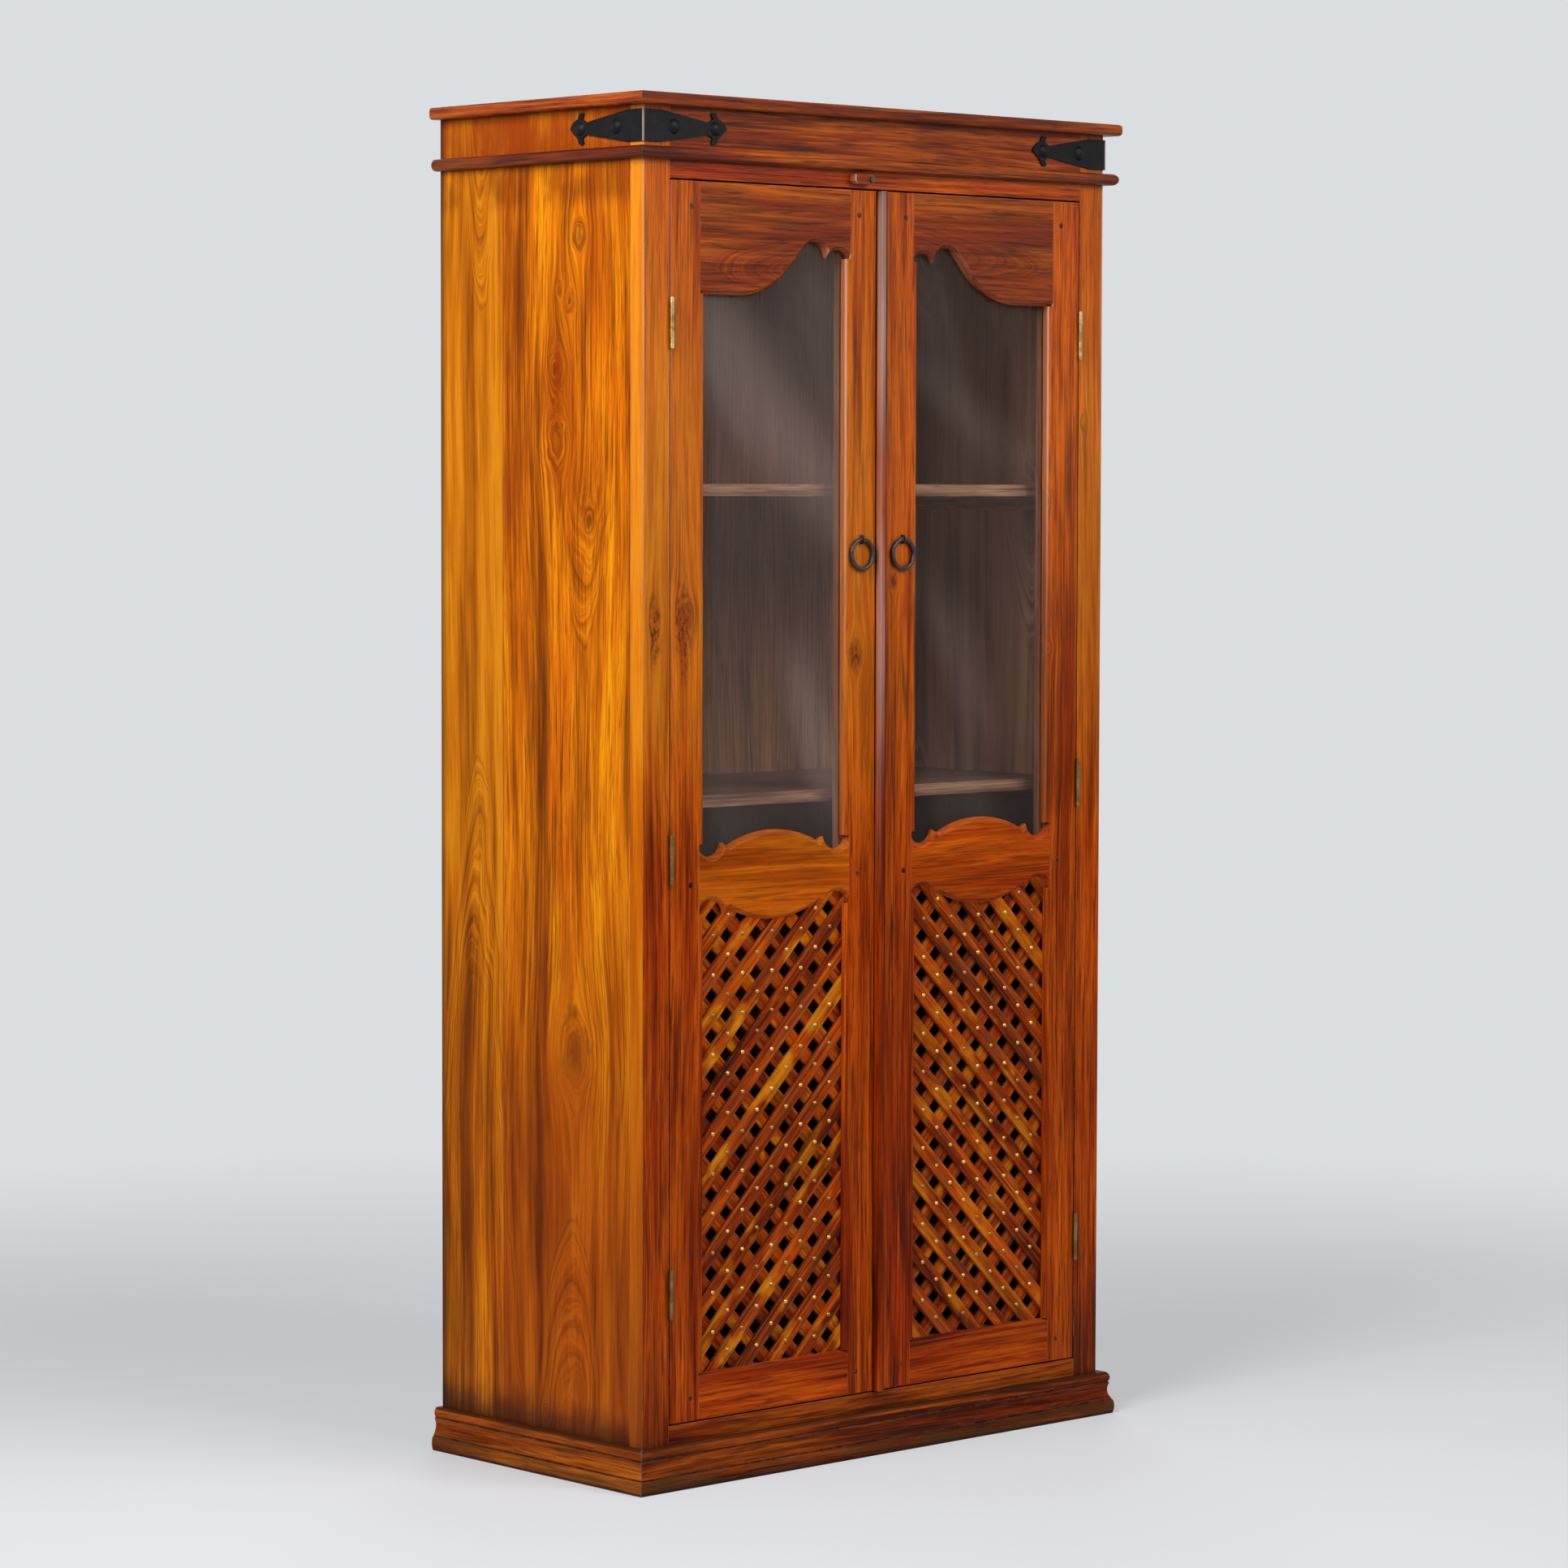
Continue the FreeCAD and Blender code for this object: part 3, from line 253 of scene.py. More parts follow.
class Timber(Finish):
    """Waxed rosewood: streaks along the grain that part round knots and nest into arches.

    A knot is its place across and along the grain, its radius, and how dark it is. An arch is the
    place of its tip across and along the grain, how slowly it opens, and which way it opens. Boards
    side by side, each with its own grain, are the edge of the first one and how far apart they lie.
    """

    def __init__(self, name, grain, tones, knots=(), arches=(), figure=36.0, calm=0.075, sway=0.03,
                 lift=0.0, mottle=0.3, lines=0.8, boards=None):
        super().__init__(name + "_wood", Specular_IOR_Level=0.04, Coat_Roughness=0.16)
        self.x, self.y, self.z = self.place()
        self.run, self.wide, self.deep = GRAIN[grain](self.x, self.y, self.z)
        self.shift = GRAIN_SHIFT * chance(name)
        if boards:
            first, pitch = boards
            self.number = ((self.wide - first) / pitch).floor()
            self.shift = self.number * BOARD_SHIFT + self.shift
        self.calm = calm
        self.follow_grain(knots, figure, sway, lift)
        for arch in arches:
            self.nest_rings(*arch)
        self.colour = self.stained(tones)
        self.add_clouds(tones, mottle)
        self.add_lines(tones, lines)
        self.add_fibre(tones)
        self.add_hearts(knots)

    def follow_grain(self, knots, figure, sway, lift):
        """Streaks along the grain; they sway a little, and flow round each knot."""
        slow = (self.wide * 4.0 + self.shift, self.deep * 4.0, self.run * 1.3 + self.shift)
        flow = self.wide + (self.noise(slow, detail=1.0) - 0.5) * sway
        if knots:
            close = (self.wide * 75.0, self.deep * 75.0, self.run * 45.0 + self.shift)
            self.gnarl = self.noise(close, detail=1.5) - 0.5
        for across, along, radius, dark in knots:
            warp = self.gnarl * (min(radius, WARP_LIMIT) * 1.3)
            beside = self.wide - across + warp
            beyond = (self.run - along) * KNOT_STRETCH - warp
            gap = (beside * beside + beyond * beyond) / (radius * radius * KNOT_REACH)
            parted = flow - beside / gap.most(1.0)
            ringed = gap * (radius * 0.8) + across
            flow = parted + (ringed - parted) * gap.fade(1.02, 0.98)
        self.flow = flow
        self.streaks = lift + self.noise((flow * figure + self.shift, self.deep * figure,
                                          self.run * figure * 0.045), detail=5.0, rough=0.66)

    def nest_rings(self, across, along, spread, way):
        """Arches inside arches, where the saw runs along the tree's rings."""
        bend = self.noise((self.wide * 14.0 + self.shift, self.deep * 14.0, self.run * 5.0), detail=3.0) - 0.5
        beside = self.flow - across + bend * 0.045
        inside = (self.run - along) * way - beside * beside / spread + bend * 0.14
        rings = self.noise(inside * ARCH_RINGS + self.shift, detail=4.0, rough=0.75)
        share = inside.fade(0.0, 0.05) * inside.fade(0.40, 0.12) * 0.5
        self.streaks = self.streaks + (rings - self.streaks) * share

    def stained(self, tones):
        """The streaks, from dark to bright, in a palette."""
        step = self.calm
        return self.ramp(self.streaks, [(0.5 - 2 * step, tones.line), (0.5 - step, tones.low),
                                        (0.5, tones.middle), (0.5 + step, tones.high),
                                        (0.5 + 2 * step, tones.middle)])

    def add_clouds(self, tones, mottle):
        """Broad bands, warmer and paler, darker and brighter."""
        self.cloud = self.noise((self.flow * 7.0 + self.shift, self.deep * 7.0, self.run * 1.7), detail=3.0)
        self.stain(self.cloud.fade(0.50, 0.68, 0.0, 0.6), tones.warm)
        self.stain(self.cloud.fade(0.47, 0.30, 0.0, 0.5), tones.high)
        broad = self.noise((self.flow * 11.0, self.deep * 11.0 + self.shift, self.run * 2.6), detail=2.0)
        light = self.ramp(broad, [(0.3, shade(96, 96, 96)), (0.7, shade(214, 214, 214))])
        self.stain(mottle, light, "OVERLAY")

    def add_lines(self, tones, strength):
        """Thin dark lines, here and there."""
        wander = self.noise((self.flow * 85.0, self.deep * 85.0 + self.shift, self.run * 1.5), detail=2.0)
        patch = self.noise((self.flow * 16.0, self.deep * 16.0, self.run * 2.1 + self.shift), detail=2.0)
        self.lines = (wander - 0.5).size().fade(0.045, 0.005) * patch.fade(0.44, 0.62)
        self.stain(self.lines * strength, tones.line)

    def add_fibre(self, tones):
        """Fine fibres, and pores cut lengthwise."""
        self.fibre = self.noise((self.flow * 260.0, self.deep * 260.0, self.run * 7.0),
                                detail=3.0, rough=0.65)
        self.pores = self.noise((self.flow * 800.0, self.deep * 800.0 + self.shift, self.run * 34.0),
                                detail=1.0).fade(0.6, 0.72)
        light = self.ramp(self.fibre, [(0.3, shade(60, 60, 60)), (0.7, shade(218, 218, 218))])
        self.stain(0.6, light, "OVERLAY")
        flecks = self.noise((self.flow * 330.0 + self.shift, self.deep * 330.0, self.run * 16.0), detail=2.0)
        self.stain(flecks.fade(0.55, 0.70) * 0.65, tones.line)
        self.stain(self.pores * 0.45, tones.line)

    def add_hearts(self, knots):
        """A dark heart in each knot, with a faint ring round it."""
        for across, along, radius, dark in knots:
            beside = self.wide - across
            beyond = (self.run - along) * KNOT_STRETCH
            away = (beside * beside + beyond * beyond).root() / radius + self.gnarl * 1.6
            rim = away.fade(0.7, 1.0) * away.fade(1.5, 1.1) * 0.4
            heart = away.fade(1.15, 0.2) * self.streaks.fade(0.75, 0.45, 0.45, 1.0)
            self.stain(rim.most(heart) * dark, KNOT_HEART)

    def add_burrs(self, burrs):
        """Clusters of dark specks, each in a red halo."""
        for across, along, half_width, half_length, strength in burrs:
            beside = (self.wide - across) / half_width
            beyond = (self.run - along) / half_length
            away = (beside * beside + beyond * beyond).root() + (self.streaks - 0.5) * 2.5
            near = away.fade(1.2, 0.3) * strength
            specks = self.noise((self.wide * 230.0, self.deep * 230.0, self.run * 85.0 + self.shift),
                                detail=4.0, rough=0.7)
            self.stain(near * 0.5, RUSSET.low)
            self.stain(near * specks.fade(0.44, 0.60), KNOT_HEART)

    def rub(self, amount, rounded):
        """Wear the finish thin along the edges."""
        flat = self.node("ShaderNodeNewGeometry", output="Normal")
        turn = self.node("ShaderNodeVectorMath", {"operation": "DOT_PRODUCT"}, {0: rounded, 1: flat},
                         output="Value")
        spots = self.noise((self.x * 45.0, self.y * 45.0, self.z * 45.0 + self.shift), detail=4.0, rough=0.65)
        self.stain(turn.fade(0.985, 0.86) * spots.fade(0.38, 0.62) * amount, WORN_AND_SHEEN)

    def done(self, gloss=0.30, worn=0.6, wax=0.3):
        """Finish the material; the wax is whole high up and rubbed off lower down."""
        rounded = self.node("ShaderNodeBevel", {"samples": 4}, {"Radius": ARRIS})
        if worn:
            self.rub(worn, rounded)
        self.feed(self.shader, {"Base Color": self.colour, "Coat Weight": self.z.fade(*WAXED, 0.02, wax),
                                "Roughness": self.fibre * 0.16 + self.cloud * 0.10 + gloss})
        self.relief(self.fibre * 0.4 - self.pores - self.lines * 0.5, GRAIN_DEPTH, Normal=rounded)
        return self


def between(value, low, high, soft):
    """One from low to high, fading out over soft at each end."""
    return value.fade(low - soft, low) * value.fade(high + soft, high)


# Carcass wood

BOARD_JOINT = 0.0845
REAR_STREAK = 0.165
REAR_EDGE = (0.200, 0.2135)
CUPBOARD_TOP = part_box("middle_shelf")[0].z
BACK_COUNT = 6
BACK_JOINT = 0.0006
BACK_NAIL = 0.0026
SHELVES = ("bottom_board", "lower_shelf", "middle_shelf", "upper_shelf")
# Heights between which the bleached front sets in and weakens again, and how strong it is
BLEACHED_FROM = (0.75, 1.1)
BLEACHED_TO = (1.65, 1.35)
BLEACH = {"left": 0.38, "right": 0.15}
# Heights between which lips and beads begin to look rubbed and take a painted sheen
SHEEN_HEIGHTS = (0.70, 0.95)
PLINTH_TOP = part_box("plinth_left")[1].z
# Heights between which the plinth's foot turns olive with dirt
PLINTH_FOOT = (0.021, 0.017)
# Where shade is painted on the plinth, in its grooves, at its top and along the floor: height and reach
PLINTH_SHADE_LINES = ((0.0200, 0.0016), (0.0444, 0.0022), (0.0, 0.006), (PLINTH_TOP, 0.004))
CORNICE_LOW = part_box("cornice_left")[0].z
CORNICE_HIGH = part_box("cornice_left")[1].z
SIDE_KNOTS = [(-0.070, 1.623, 0.009, 0.7), (-0.030, 1.553, 0.005, 0.5), (-0.050, 1.537, 0.007, 0.8),
              (-0.025, 1.450, 0.011, 0.6), (-0.025, 1.360, 0.013, 0.4), (-0.090, 1.255, 0.008, 0.6),
              (-0.060, 0.560, 0.021, 0.95), (-0.045, 0.135, 0.005, 0.5), (-0.002, 0.080, 0.005, 0.4)]
# Dark red flames: place across and along the grain, half width, half length, strength
SIDE_FLAMES = [(-0.026, 1.450, 0.010, 0.060, 0.7), (-0.020, 1.350, 0.016, 0.090, 0.5),
               (-0.085, 1.600, 0.010, 0.110, 0.45), (-0.040, 0.700, 0.012, 0.120, 0.4)]
STILE_KNOTS = {"left_frame_stile": [(-0.401, 1.132, 0.006, 0.9)],
               "right_frame_stile": [(0.387, 1.389, 0.005, 0.8)],
               "left_door_hinge_stile": [(-0.347, 1.135, 0.009, 0.9)],
               "left_door_meeting_stile": [(-0.046, 1.080, 0.009, 1.0)],
               "right_door_hinge_stile": [(0.315, 1.282, 0.004, 0.8), (0.320, 1.076, 0.005, 0.8)],
               "right_door_meeting_stile": [(0.022, 1.173, 0.005, 0.9)]}
# Burrs: place across and along the grain, half width, half length, strength
STILE_BURRS = {"left_frame_stile": [(-0.401, 1.110, 0.013, 0.060, 0.9)],
               "left_door_hinge_stile": [(-0.352, 1.120, 0.024, 0.070, 0.85)],
               "left_door_meeting_stile": [(-0.048, 1.074, 0.018, 0.034, 0.95)],
               "right_door_meeting_stile": [(0.022, 1.173, 0.010, 0.014, 0.95)]}
SIDE_ARCHES = [(-0.080, 1.055, 0.012, 1), (-0.045, 0.370, 0.014, -1), (0.125, 1.510, 0.010, 1),
               (0.145, 0.960, 0.012, -1)]


def paint_cupboard_shade(wood, amount):
    """Paint shade on the wood inside the cupboard below the glass."""
    wood.stain(wood.z.fade(CUPBOARD_TOP, CUPBOARD_TOP - 0.01) * amount, SOOT_AND_SHADE)


def back_places():
    """The left edge of the back's first board, and how far apart the boards lie."""
    low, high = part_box("back_boards")
    return low.x, (high.x - low.x + BACK_JOINT) / BACK_COUNT


def side_panel(node):
    """Two glued boards: the front one honey coloured and knotty, the rear one tawny."""
    wood = Timber(node, "side", HONEY, knots=SIDE_KNOTS, arches=SIDE_ARCHES, figure=22.0, calm=0.07,
                  sway=0.05, mottle=0.6)
    rear = wood.y.fade(BOARD_JOINT - 0.0004, BOARD_JOINT + 0.0004)
    wood.stain(rear * wood.z.fade(0.9, 0.4, 0.85, 0.2), wood.stained(TAWNY))
    wood.stain(wood.z.fade(0.85, 0.30) * (1 - rear) * 0.8, wood.stained(DUSKY))
    inward = wood.facing(0, 1 if node.startswith("left") else -1)
    wood.stain(inward, wood.stained(SHADED))
    # Painted shade on the inner face, inside the cupboard below the glass
    paint_cupboard_shade(wood, inward)
    for across, along, half_width, half_length, strength in SIDE_FLAMES:
        beside = (wood.wide - across) / half_width + (wood.streaks - 0.5) * 5.0
        beyond = (wood.run - along) / half_length
        away = (beside * beside + beyond * beyond).root()
        wood.stain(away.fade(1.3, 0.1) * strength, RUSSET.low)
    wood.stain((wood.y - REAR_STREAK).size().fade(0.025, 0.006) * wood.z.fade(0.85, 0.40) * 0.25,
               DUSKY.line)
    wood.stain((wood.y - BOARD_JOINT).size().fade(0.0016, 0.0004) * 0.6, HONEY.line)
    unevenness = wood.noise((wood.y * 22.0, wood.x * 22.0, wood.z * 14.0), detail=3.0)
    # Painted shade in the corner just above the plinth
    wood.stain((wood.z - unevenness * 0.05).fade(PLINTH_TOP + 0.03, PLINTH_TOP - 0.02) * 0.75, DIRT_AND_SHADE)
    # Darker and redder under the cornice: partly stain, partly painted shade
    under_cornice = between(wood.z, CORNICE_LOW - 0.035, CORNICE_LOW, 0.03)
    wood.stain(under_cornice * unevenness.fade(0.3, 0.6) * 0.55, UMBER.low)
    above_cornice = wood.z.fade(CORNICE_HIGH - 0.004, CORNICE_HIGH)
    wood.stain(above_cornice * unevenness.fade(0.3, 0.65, 0.45, 0.9), UMBER.middle)
    wood.stain(wood.y.fade(*REAR_EDGE) * 0.7, DIRT_AND_SHADE)
    dress(node, wood.done(wax=0.04))


def front_board(node, grain, tones=RUSSET, knots=(), lip=0.25, bleach=0.0, **how):
    """A board of the front, with lips round the openings that are rubbed and carry a painted sheen, and
    bleached a little high up.
    """
    wood = Timber(node, grain, tones, knots=knots, **how)
    if bleach:
        high_up = wood.z.fade(*BLEACHED_FROM) * wood.z.fade(*BLEACHED_TO, 0.35, 1.0)
        wood.stain(high_up * bleach, wood.stained(TAWNY))
    if lip:
        inside = wood.facing(0, -1)
        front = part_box(node)[0].y
        # Lips turned to the left: worn, and a painted sheen that grows higher up
        wood.stain(inside * wood.z.fade(*SHEEN_HEIGHTS) * wood.z.fade(1.1, 1.45, lip, lip + 0.3), WORN_AND_SHEEN)
        # A painted highlight along the lip's front arris, higher up
        wood.stain(inside * wood.y.fade(front + 0.004, front + 0.002) * wood.z.fade(1.0, 1.4) * 0.5, PAINTED_HIGHLIGHT)
    return wood


def inner_board(node, grain, **how):
    """Plain wood inside the cabinet, with painted shade on what faces up."""
    board = Timber(node, grain, SHADED, **how)
    # Painted shade on the faces turned up, and inside the cupboard below the glass
    board.stain(board.facing(2, 1) * 0.75, TOP_FACE_SHADE)
    paint_cupboard_shade(board, 0.9)
    return board.done(worn=0.3)


def dress_back():
    """Boards of different tones, nailed to the shelves; painted shade inside, below the glass."""
    first, pitch = back_places()
    wood = Timber("back_boards", "Z", SHADED, calm=0.2, boards=(first, pitch))
    pick = wood.node("ShaderNodeTexWhiteNoise", {"noise_dimensions": "1D"}, {"W": wood.number + 0.3})
    inward = wood.facing(1, -1)
    strength = 1 - inward * 0.6
    wood.stain(pick.fade(0.45, 1.0) * strength * 0.55, wood.stained(PLUM))
    wood.stain(pick.fade(0.45, 0.0) * strength * 0.35, wood.stained(TAWNY))
    # Painted shade on the inner face, inside the cupboard below the glass
    paint_cupboard_shade(wood, inward * 0.9)
    beside = (wood.x - first) * 2 / pitch
    beside = (beside - beside.floor() - 0.5) * (pitch / 2)
    outward = wood.facing(1, 1)
    for shelf in SHELVES:
        low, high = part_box(shelf)
        level = wood.z - (low.z + high.z) / 2
        away = (beside * beside + level * level).root()
        wood.stain(away.fade(BACK_NAIL * 2.2, BACK_NAIL) * outward * 0.35, DIRT_AND_SHADE)
        wood.stain(away.fade(BACK_NAIL, BACK_NAIL * 0.85) * outward * 0.8, IRON)
    edge = (wood.x - first) / pitch
    edge = (edge - edge.floor() - 0.5).size() * pitch
    wood.stain(edge.fade(pitch / 2 - 0.005, pitch / 2 - 0.001) * outward * 0.5, DIRT_AND_SHADE)
    dress("back_boards", wood.done(worn=0.3))


def dress_carcass():
    """Sides, face frame, mouldings, top, button, back and shelves."""
    for side in SIDES:
        side_panel(side + "_side")
    for side, sign in (("left", -1), ("right", 1)):
        node = side + "_frame_stile"
        stile = front_board(node, "Z", knots=STILE_KNOTS[node], lip=0, lift=0.06, bleach=BLEACH[side] + 0.25)
        stile.add_burrs(STILE_BURRS.get(node, ()))
        stile.stain(stile.facing(0, sign), stile.stained(SAPWOOD))
        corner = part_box(node)[sign > 0].x * sign
        # A painted highlight along the outer front arris, higher up
        stile.stain((stile.x * sign).fade(corner - 0.0022, corner - 0.0008) * stile.facing(1, -1) *
                    stile.cloud.fade(0.62, 0.42) * stile.z.fade(0.9, 1.6) * 0.6, PAINTED_HIGHLIGHT)
        stile.stain(stile.facing(0, sign) * stile.z.fade(0.90, 0.30) * 0.85, stile.stained(DUSKY))
        stile.stain(stile.z.fade(0.28, 0.07) * stile.cloud.fade(0.3, 0.6) * 0.75, UMBER.line)
        dress(node, stile.done(worn=0.9))
    for node, tones, lift in (("frieze_rail", UMBER, 0.11), ("frame_top_rail", RUSSET, 0.05),
                              ("frame_bottom_rail", UMBER, 0.03), ("cornice_front", UMBER, 0.0)):
        dress(node, front_board(node, "X", tones, lift=lift).done(worn=0.8))
    top = front_board("top_board", "X", UMBER, lip=0, lift=0.03)
    edging = top.noise((top.y * 6.0, top.x * 90.0, top.z * 240.0), detail=4.0, rough=0.65)
    edging = top.ramp(edging, [(0.36, UMBER.line), (0.5, UMBER.middle), (0.62, UMBER.high)])
    top.stain(top.facing(0, 1).most(top.facing(0, -1)), edging)
    dress("top_board", top.done(worn=0.8))
    for side in SIDES:
        dress(f"cornice_{side}", front_board(f"cornice_{side}", "Y", UMBER, lip=0).done(worn=0.8))
        plinth(f"plinth_{side}", "Y")
    plinth("plinth_front", "X")
    dress("turn_button", front_board("turn_button", "X", UMBER).done(worn=1.0))
    dress_back()
    for node in (*SHELVES, "door_stop"):
        dress(node, inner_board(node, "X", lift=0.02))
    dress("shelf_bearers", inner_board("shelf_bearers", "Y"))


def plinth(node, grain):
    """The base moulding: scuffed and dirty, with painted shade in its grooves, at its top and along the
    floor, and filler in the mitres.
    """
    wood = front_board(node, grain, GRIMY if grain == "Y" else UMBER, lip=0)
    scuffs = wood.noise((wood.run * 30.0, wood.wide * 220.0, wood.deep * 60.0), detail=4.0, rough=0.7)
    wood.stain(scuffs.fade(0.58, 0.74) * 0.25, WORN_AND_SHEEN)
    dirt = wood.noise((wood.run * 9.0, wood.wide * 60.0, wood.shift), detail=3.0)
    wood.stain(dirt.fade(0.48, 0.72) * 0.35, DIRT_AND_SHADE)
    wood.stain(wood.z.fade(*PLINTH_FOOT) * dirt.fade(0.3, 0.6) * 0.6, OLIVE)
    # Painted shade in the grooves, along the top and along the floor
    for groove, reach in PLINTH_SHADE_LINES:
        wood.stain((wood.z - groove).size().fade(reach, reach * 0.3) * 0.85, DIRT_AND_SHADE)
    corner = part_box("left_side")[0].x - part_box("left_frame_stile")[0].y
    mitre = (wood.x.size() + wood.y + corner).size()
    wood.stain(mitre.fade(0.0022, 0.0008) * 0.35, FILLER)
    dress(node, wood.done(gloss=0.42, worn=0.4))


# Door wood

TOP_RAIL_ARCHES = {"left": [(1.588, -0.330, 0.010, 1)], "right": [(1.605, 0.315, 0.012, -1)]}
MIDDLE_RAIL_PALE = {"left": 0.18, "right": 0.05}
LATTICE_STEP = 0.02602
LATTICE_COLUMNS = 6
LATTICE_ROWS = 13
LATTICE_PALE = {"left": 0.95, "right": 0.5}
LATTICE_DARK = {"left": 0.5, "right": 0.65}
LATTICE_LEAN = {"left": "/\\", "right": "\\/"}
# Grooves of the meeting bead, in shares of its width
BEAD_GROOVE = 0.66
BEAD_LINE = 0.36


def lattice_middle(side):
    """The middle of a door's lattice, where two slats cross."""
    low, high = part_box(f"{side}_door_lattice_front")
    return (low + high) / 2


def slats(side, layer, lean):
    """One layer of the lattice: each slat of its own tone, between russet and plum."""
    node = f"{side}_door_lattice_{layer}"
    wood = Timber(node, lean, RUSSET, figure=60.0, lift=0.02)
    middle = lattice_middle(side)
    start = GRAIN[lean](middle.x, middle.y, middle.z)[1]
    number = ((wood.wide - start) / (LATTICE_STEP * 2 * HALF_ROOT) + 0.5).floor()
    pick = wood.node("ShaderNodeTexWhiteNoise", {"noise_dimensions": "1D"}, {"W": number + wood.shift})
    blotch = wood.noise((wood.run * 18.0 + number * 5.3, wood.wide * 30.0, wood.deep * 30.0), detail=3.0)
    patch = pick * 0.45 + blotch * 2.2
    wood.stain(patch.fade(1.25, 1.75) * LATTICE_DARK[side], wood.stained(PLUM))
    wood.stain(patch.fade(1.3, 0.9) * LATTICE_PALE[side], wood.stained(TAWNY))
    dress(node, wood.done(gloss=0.34, worn=0.6))


def dress_doors():
    """Stiles, rails, pegs, beads and lattices of both doors."""
    for side in SIDES:
        for part in ("hinge_stile", "meeting_stile"):
            node = f"{side}_door_{part}"
            stile = front_board(node, "Z", knots=STILE_KNOTS[node], lift=0.035, bleach=BLEACH[side])
            stile.add_burrs(STILE_BURRS.get(node, ()))
            dress(node, stile.done())
        top = f"{side}_door_top_rail"
        rail = front_board(top, "X", UMBER, arches=TOP_RAIL_ARCHES[side], figure=20.0, calm=0.11,
                           lift=0.04, mottle=0.5, lines=0.4)
        dress(top, rail.done(worn=0.8))
        middle = front_board(f"{side}_door_middle_rail", "X", lift=0.06)
        middle.stain(MIDDLE_RAIL_PALE[side], middle.stained(HONEY))
        middle.stain(middle.facing(2, 1) * 0.12, WORN_AND_SHEEN)
        dress(f"{side}_door_middle_rail", middle.done(worn=0.9))
        dress(f"{side}_door_bottom_rail", front_board(f"{side}_door_bottom_rail", "X", lift=-0.02).done())
        dress(f"{side}_door_pegs", Timber(f"{side}_door_pegs", "Y", PLUM).done(worn=0))
        beads = Timber(f"{side}_door_beads", "Z", SHADED, calm=0.2)
        beads.stain(0.35, UMBER.middle)
        dress(f"{side}_door_beads", beads.done(worn=0))
        for layer, lean in zip(("front", "back"), LATTICE_LEAN[side]):
            slats(side, layer, lean)
    meeting_bead()


def meeting_bead():
    """The bead between the doors: worn, with a painted sheen and highlight on its left, and painted shade in
    two grooves and along its edges.
    """
    node = "right_door_meeting_bead"
    bead = front_board(node, "Z", lip=0)
    low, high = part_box(node)
    width = high.x - low.x
    proud = bead.y.fade(low.y + 0.012, low.y + 0.008)
    pale = (bead.x - low.x).fade(width * BEAD_GROOVE, width * (BEAD_GROOVE - 0.1))
    # A painted sheen on the left face, together with wear
    bead.stain(bead.facing(0, -1) * proud * bead.z.fade(*SHEEN_HEIGHTS) * 0.3, WORN_AND_SHEEN)
    # Painted shade in the grooves and along the edges
    for line, reach in ((low.x, 0.0028), (high.x, 0.0028), (low.x + width * BEAD_GROOVE, 0.0012),
                        (low.x + width * BEAD_LINE, 0.0008)):
        bead.stain((bead.x - line).size().fade(reach, reach * 0.3) * bead.facing(1, -1) * 0.45, DIRT_AND_SHADE)
    # A painted highlight on the proud left part
    bead.stain(proud * pale * bead.z.fade(0.75, 1.2) * bead.cloud.fade(0.62, 0.4) * 0.35, PAINTED_HIGHLIGHT)
    dress(node, bead.done(worn=0.9))


# Metal and glass

DENTS = 110.0
DULL_PATCHES = 40.0
DENT_DEPTH = 0.0005
# Heights between which the hinges turn from tarnished to clean
TARNISH = (1.35, 0.95)


def metal(name, colour, dull, rough, metallic=1.0, fine=1.0):
    """Metal with dents, and patches where it has gone dull."""
    finish = Finish(name, Metallic=metallic)
    x, y, z = [part * fine for part in finish.place()]
    dents = finish.noise((x * DENTS, y * DENTS, z * DENTS), detail=3.0)
    patch = finish.noise((x * DULL_PATCHES, y * DULL_PATCHES, z * DULL_PATCHES), detail=4.0, rough=0.6)
    finish.colour = finish.blend(patch.fade(0.4, 0.62), colour, dull)
    finish.feed(finish.shader, {"Base Color": finish.colour, "Roughness": dents * 0.2 + patch * 0.12 + rough})
    finish.relief(dents, DENT_DEPTH)
    return finish


def blackened_iron(name):
    """Iron with a matt black skin."""
    iron = metal(name, IRON, shade(14, 14, 15), 0.30, 0.0)
    iron.shader.inputs["Specular IOR Level"].default_value = 0.12
    return iron


def folded_strap(node):
    """Blackened iron, with a painted highlight along the fold at the cabinet's corner."""
    iron = blackened_iron(node + "_iron")
    x, y, z = iron.place()
    low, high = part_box(node)
    fold = max(-low.x, high.x) - low.y
    # Painted highlight along the fold
    iron.stain((x.size() - y).fade(fold - 0.0026, fold - 0.0010) * 0.4, PAINTED_HIGHLIGHT)
    iron.feed(iron.shader, {"Base Color": iron.colour})
    return iron


def dress_metal():
    """Straps, nails and rings of iron; hinges of brass that is tarnished lower down; a steel screw."""
    iron = blackened_iron("blackened_iron")
    brass = metal("aged_brass", shade(196, 176, 130), shade(134, 108, 62), 0.28)
    brass.stain(brass.place()[2].fade(*TARNISH) * 0.7, shade(96, 68, 32))
    brass.feed(brass.shader, {"Base Color": brass.colour})
    handled = metal("handled_iron", shade(13, 12, 13), shade(38, 35, 34), 0.22, 0.0, fine=2.4)
    for node in nodes:
        if "strap_nails" in node:
            dress(node, iron)
        if "ring_" in node:
            dress(node, handled)
        if "hinge_" in node and ("leaves" in node or "pins" in node):
            dress(node, brass)
    for side in SIDES:
        dress(f"{side}_corner_strap", folded_strap(f"{side}_corner_strap"))
    dress("button_screw", metal("dull_steel", shade(128, 120, 108), shade(80, 74, 66), 0.32))


# Faint reflections painted on the panes: place, slant, half width and strength
GLEAMS = [(-0.22, 1.42, 0.9, 0.13, 0.040), (-0.12, 0.98, 0.35, 0.06, 0.036), (0.17, 1.40, 1.6, 0.09, 0.010),
          (0.17, 1.05, 0.4, 0.06, 0.016)]


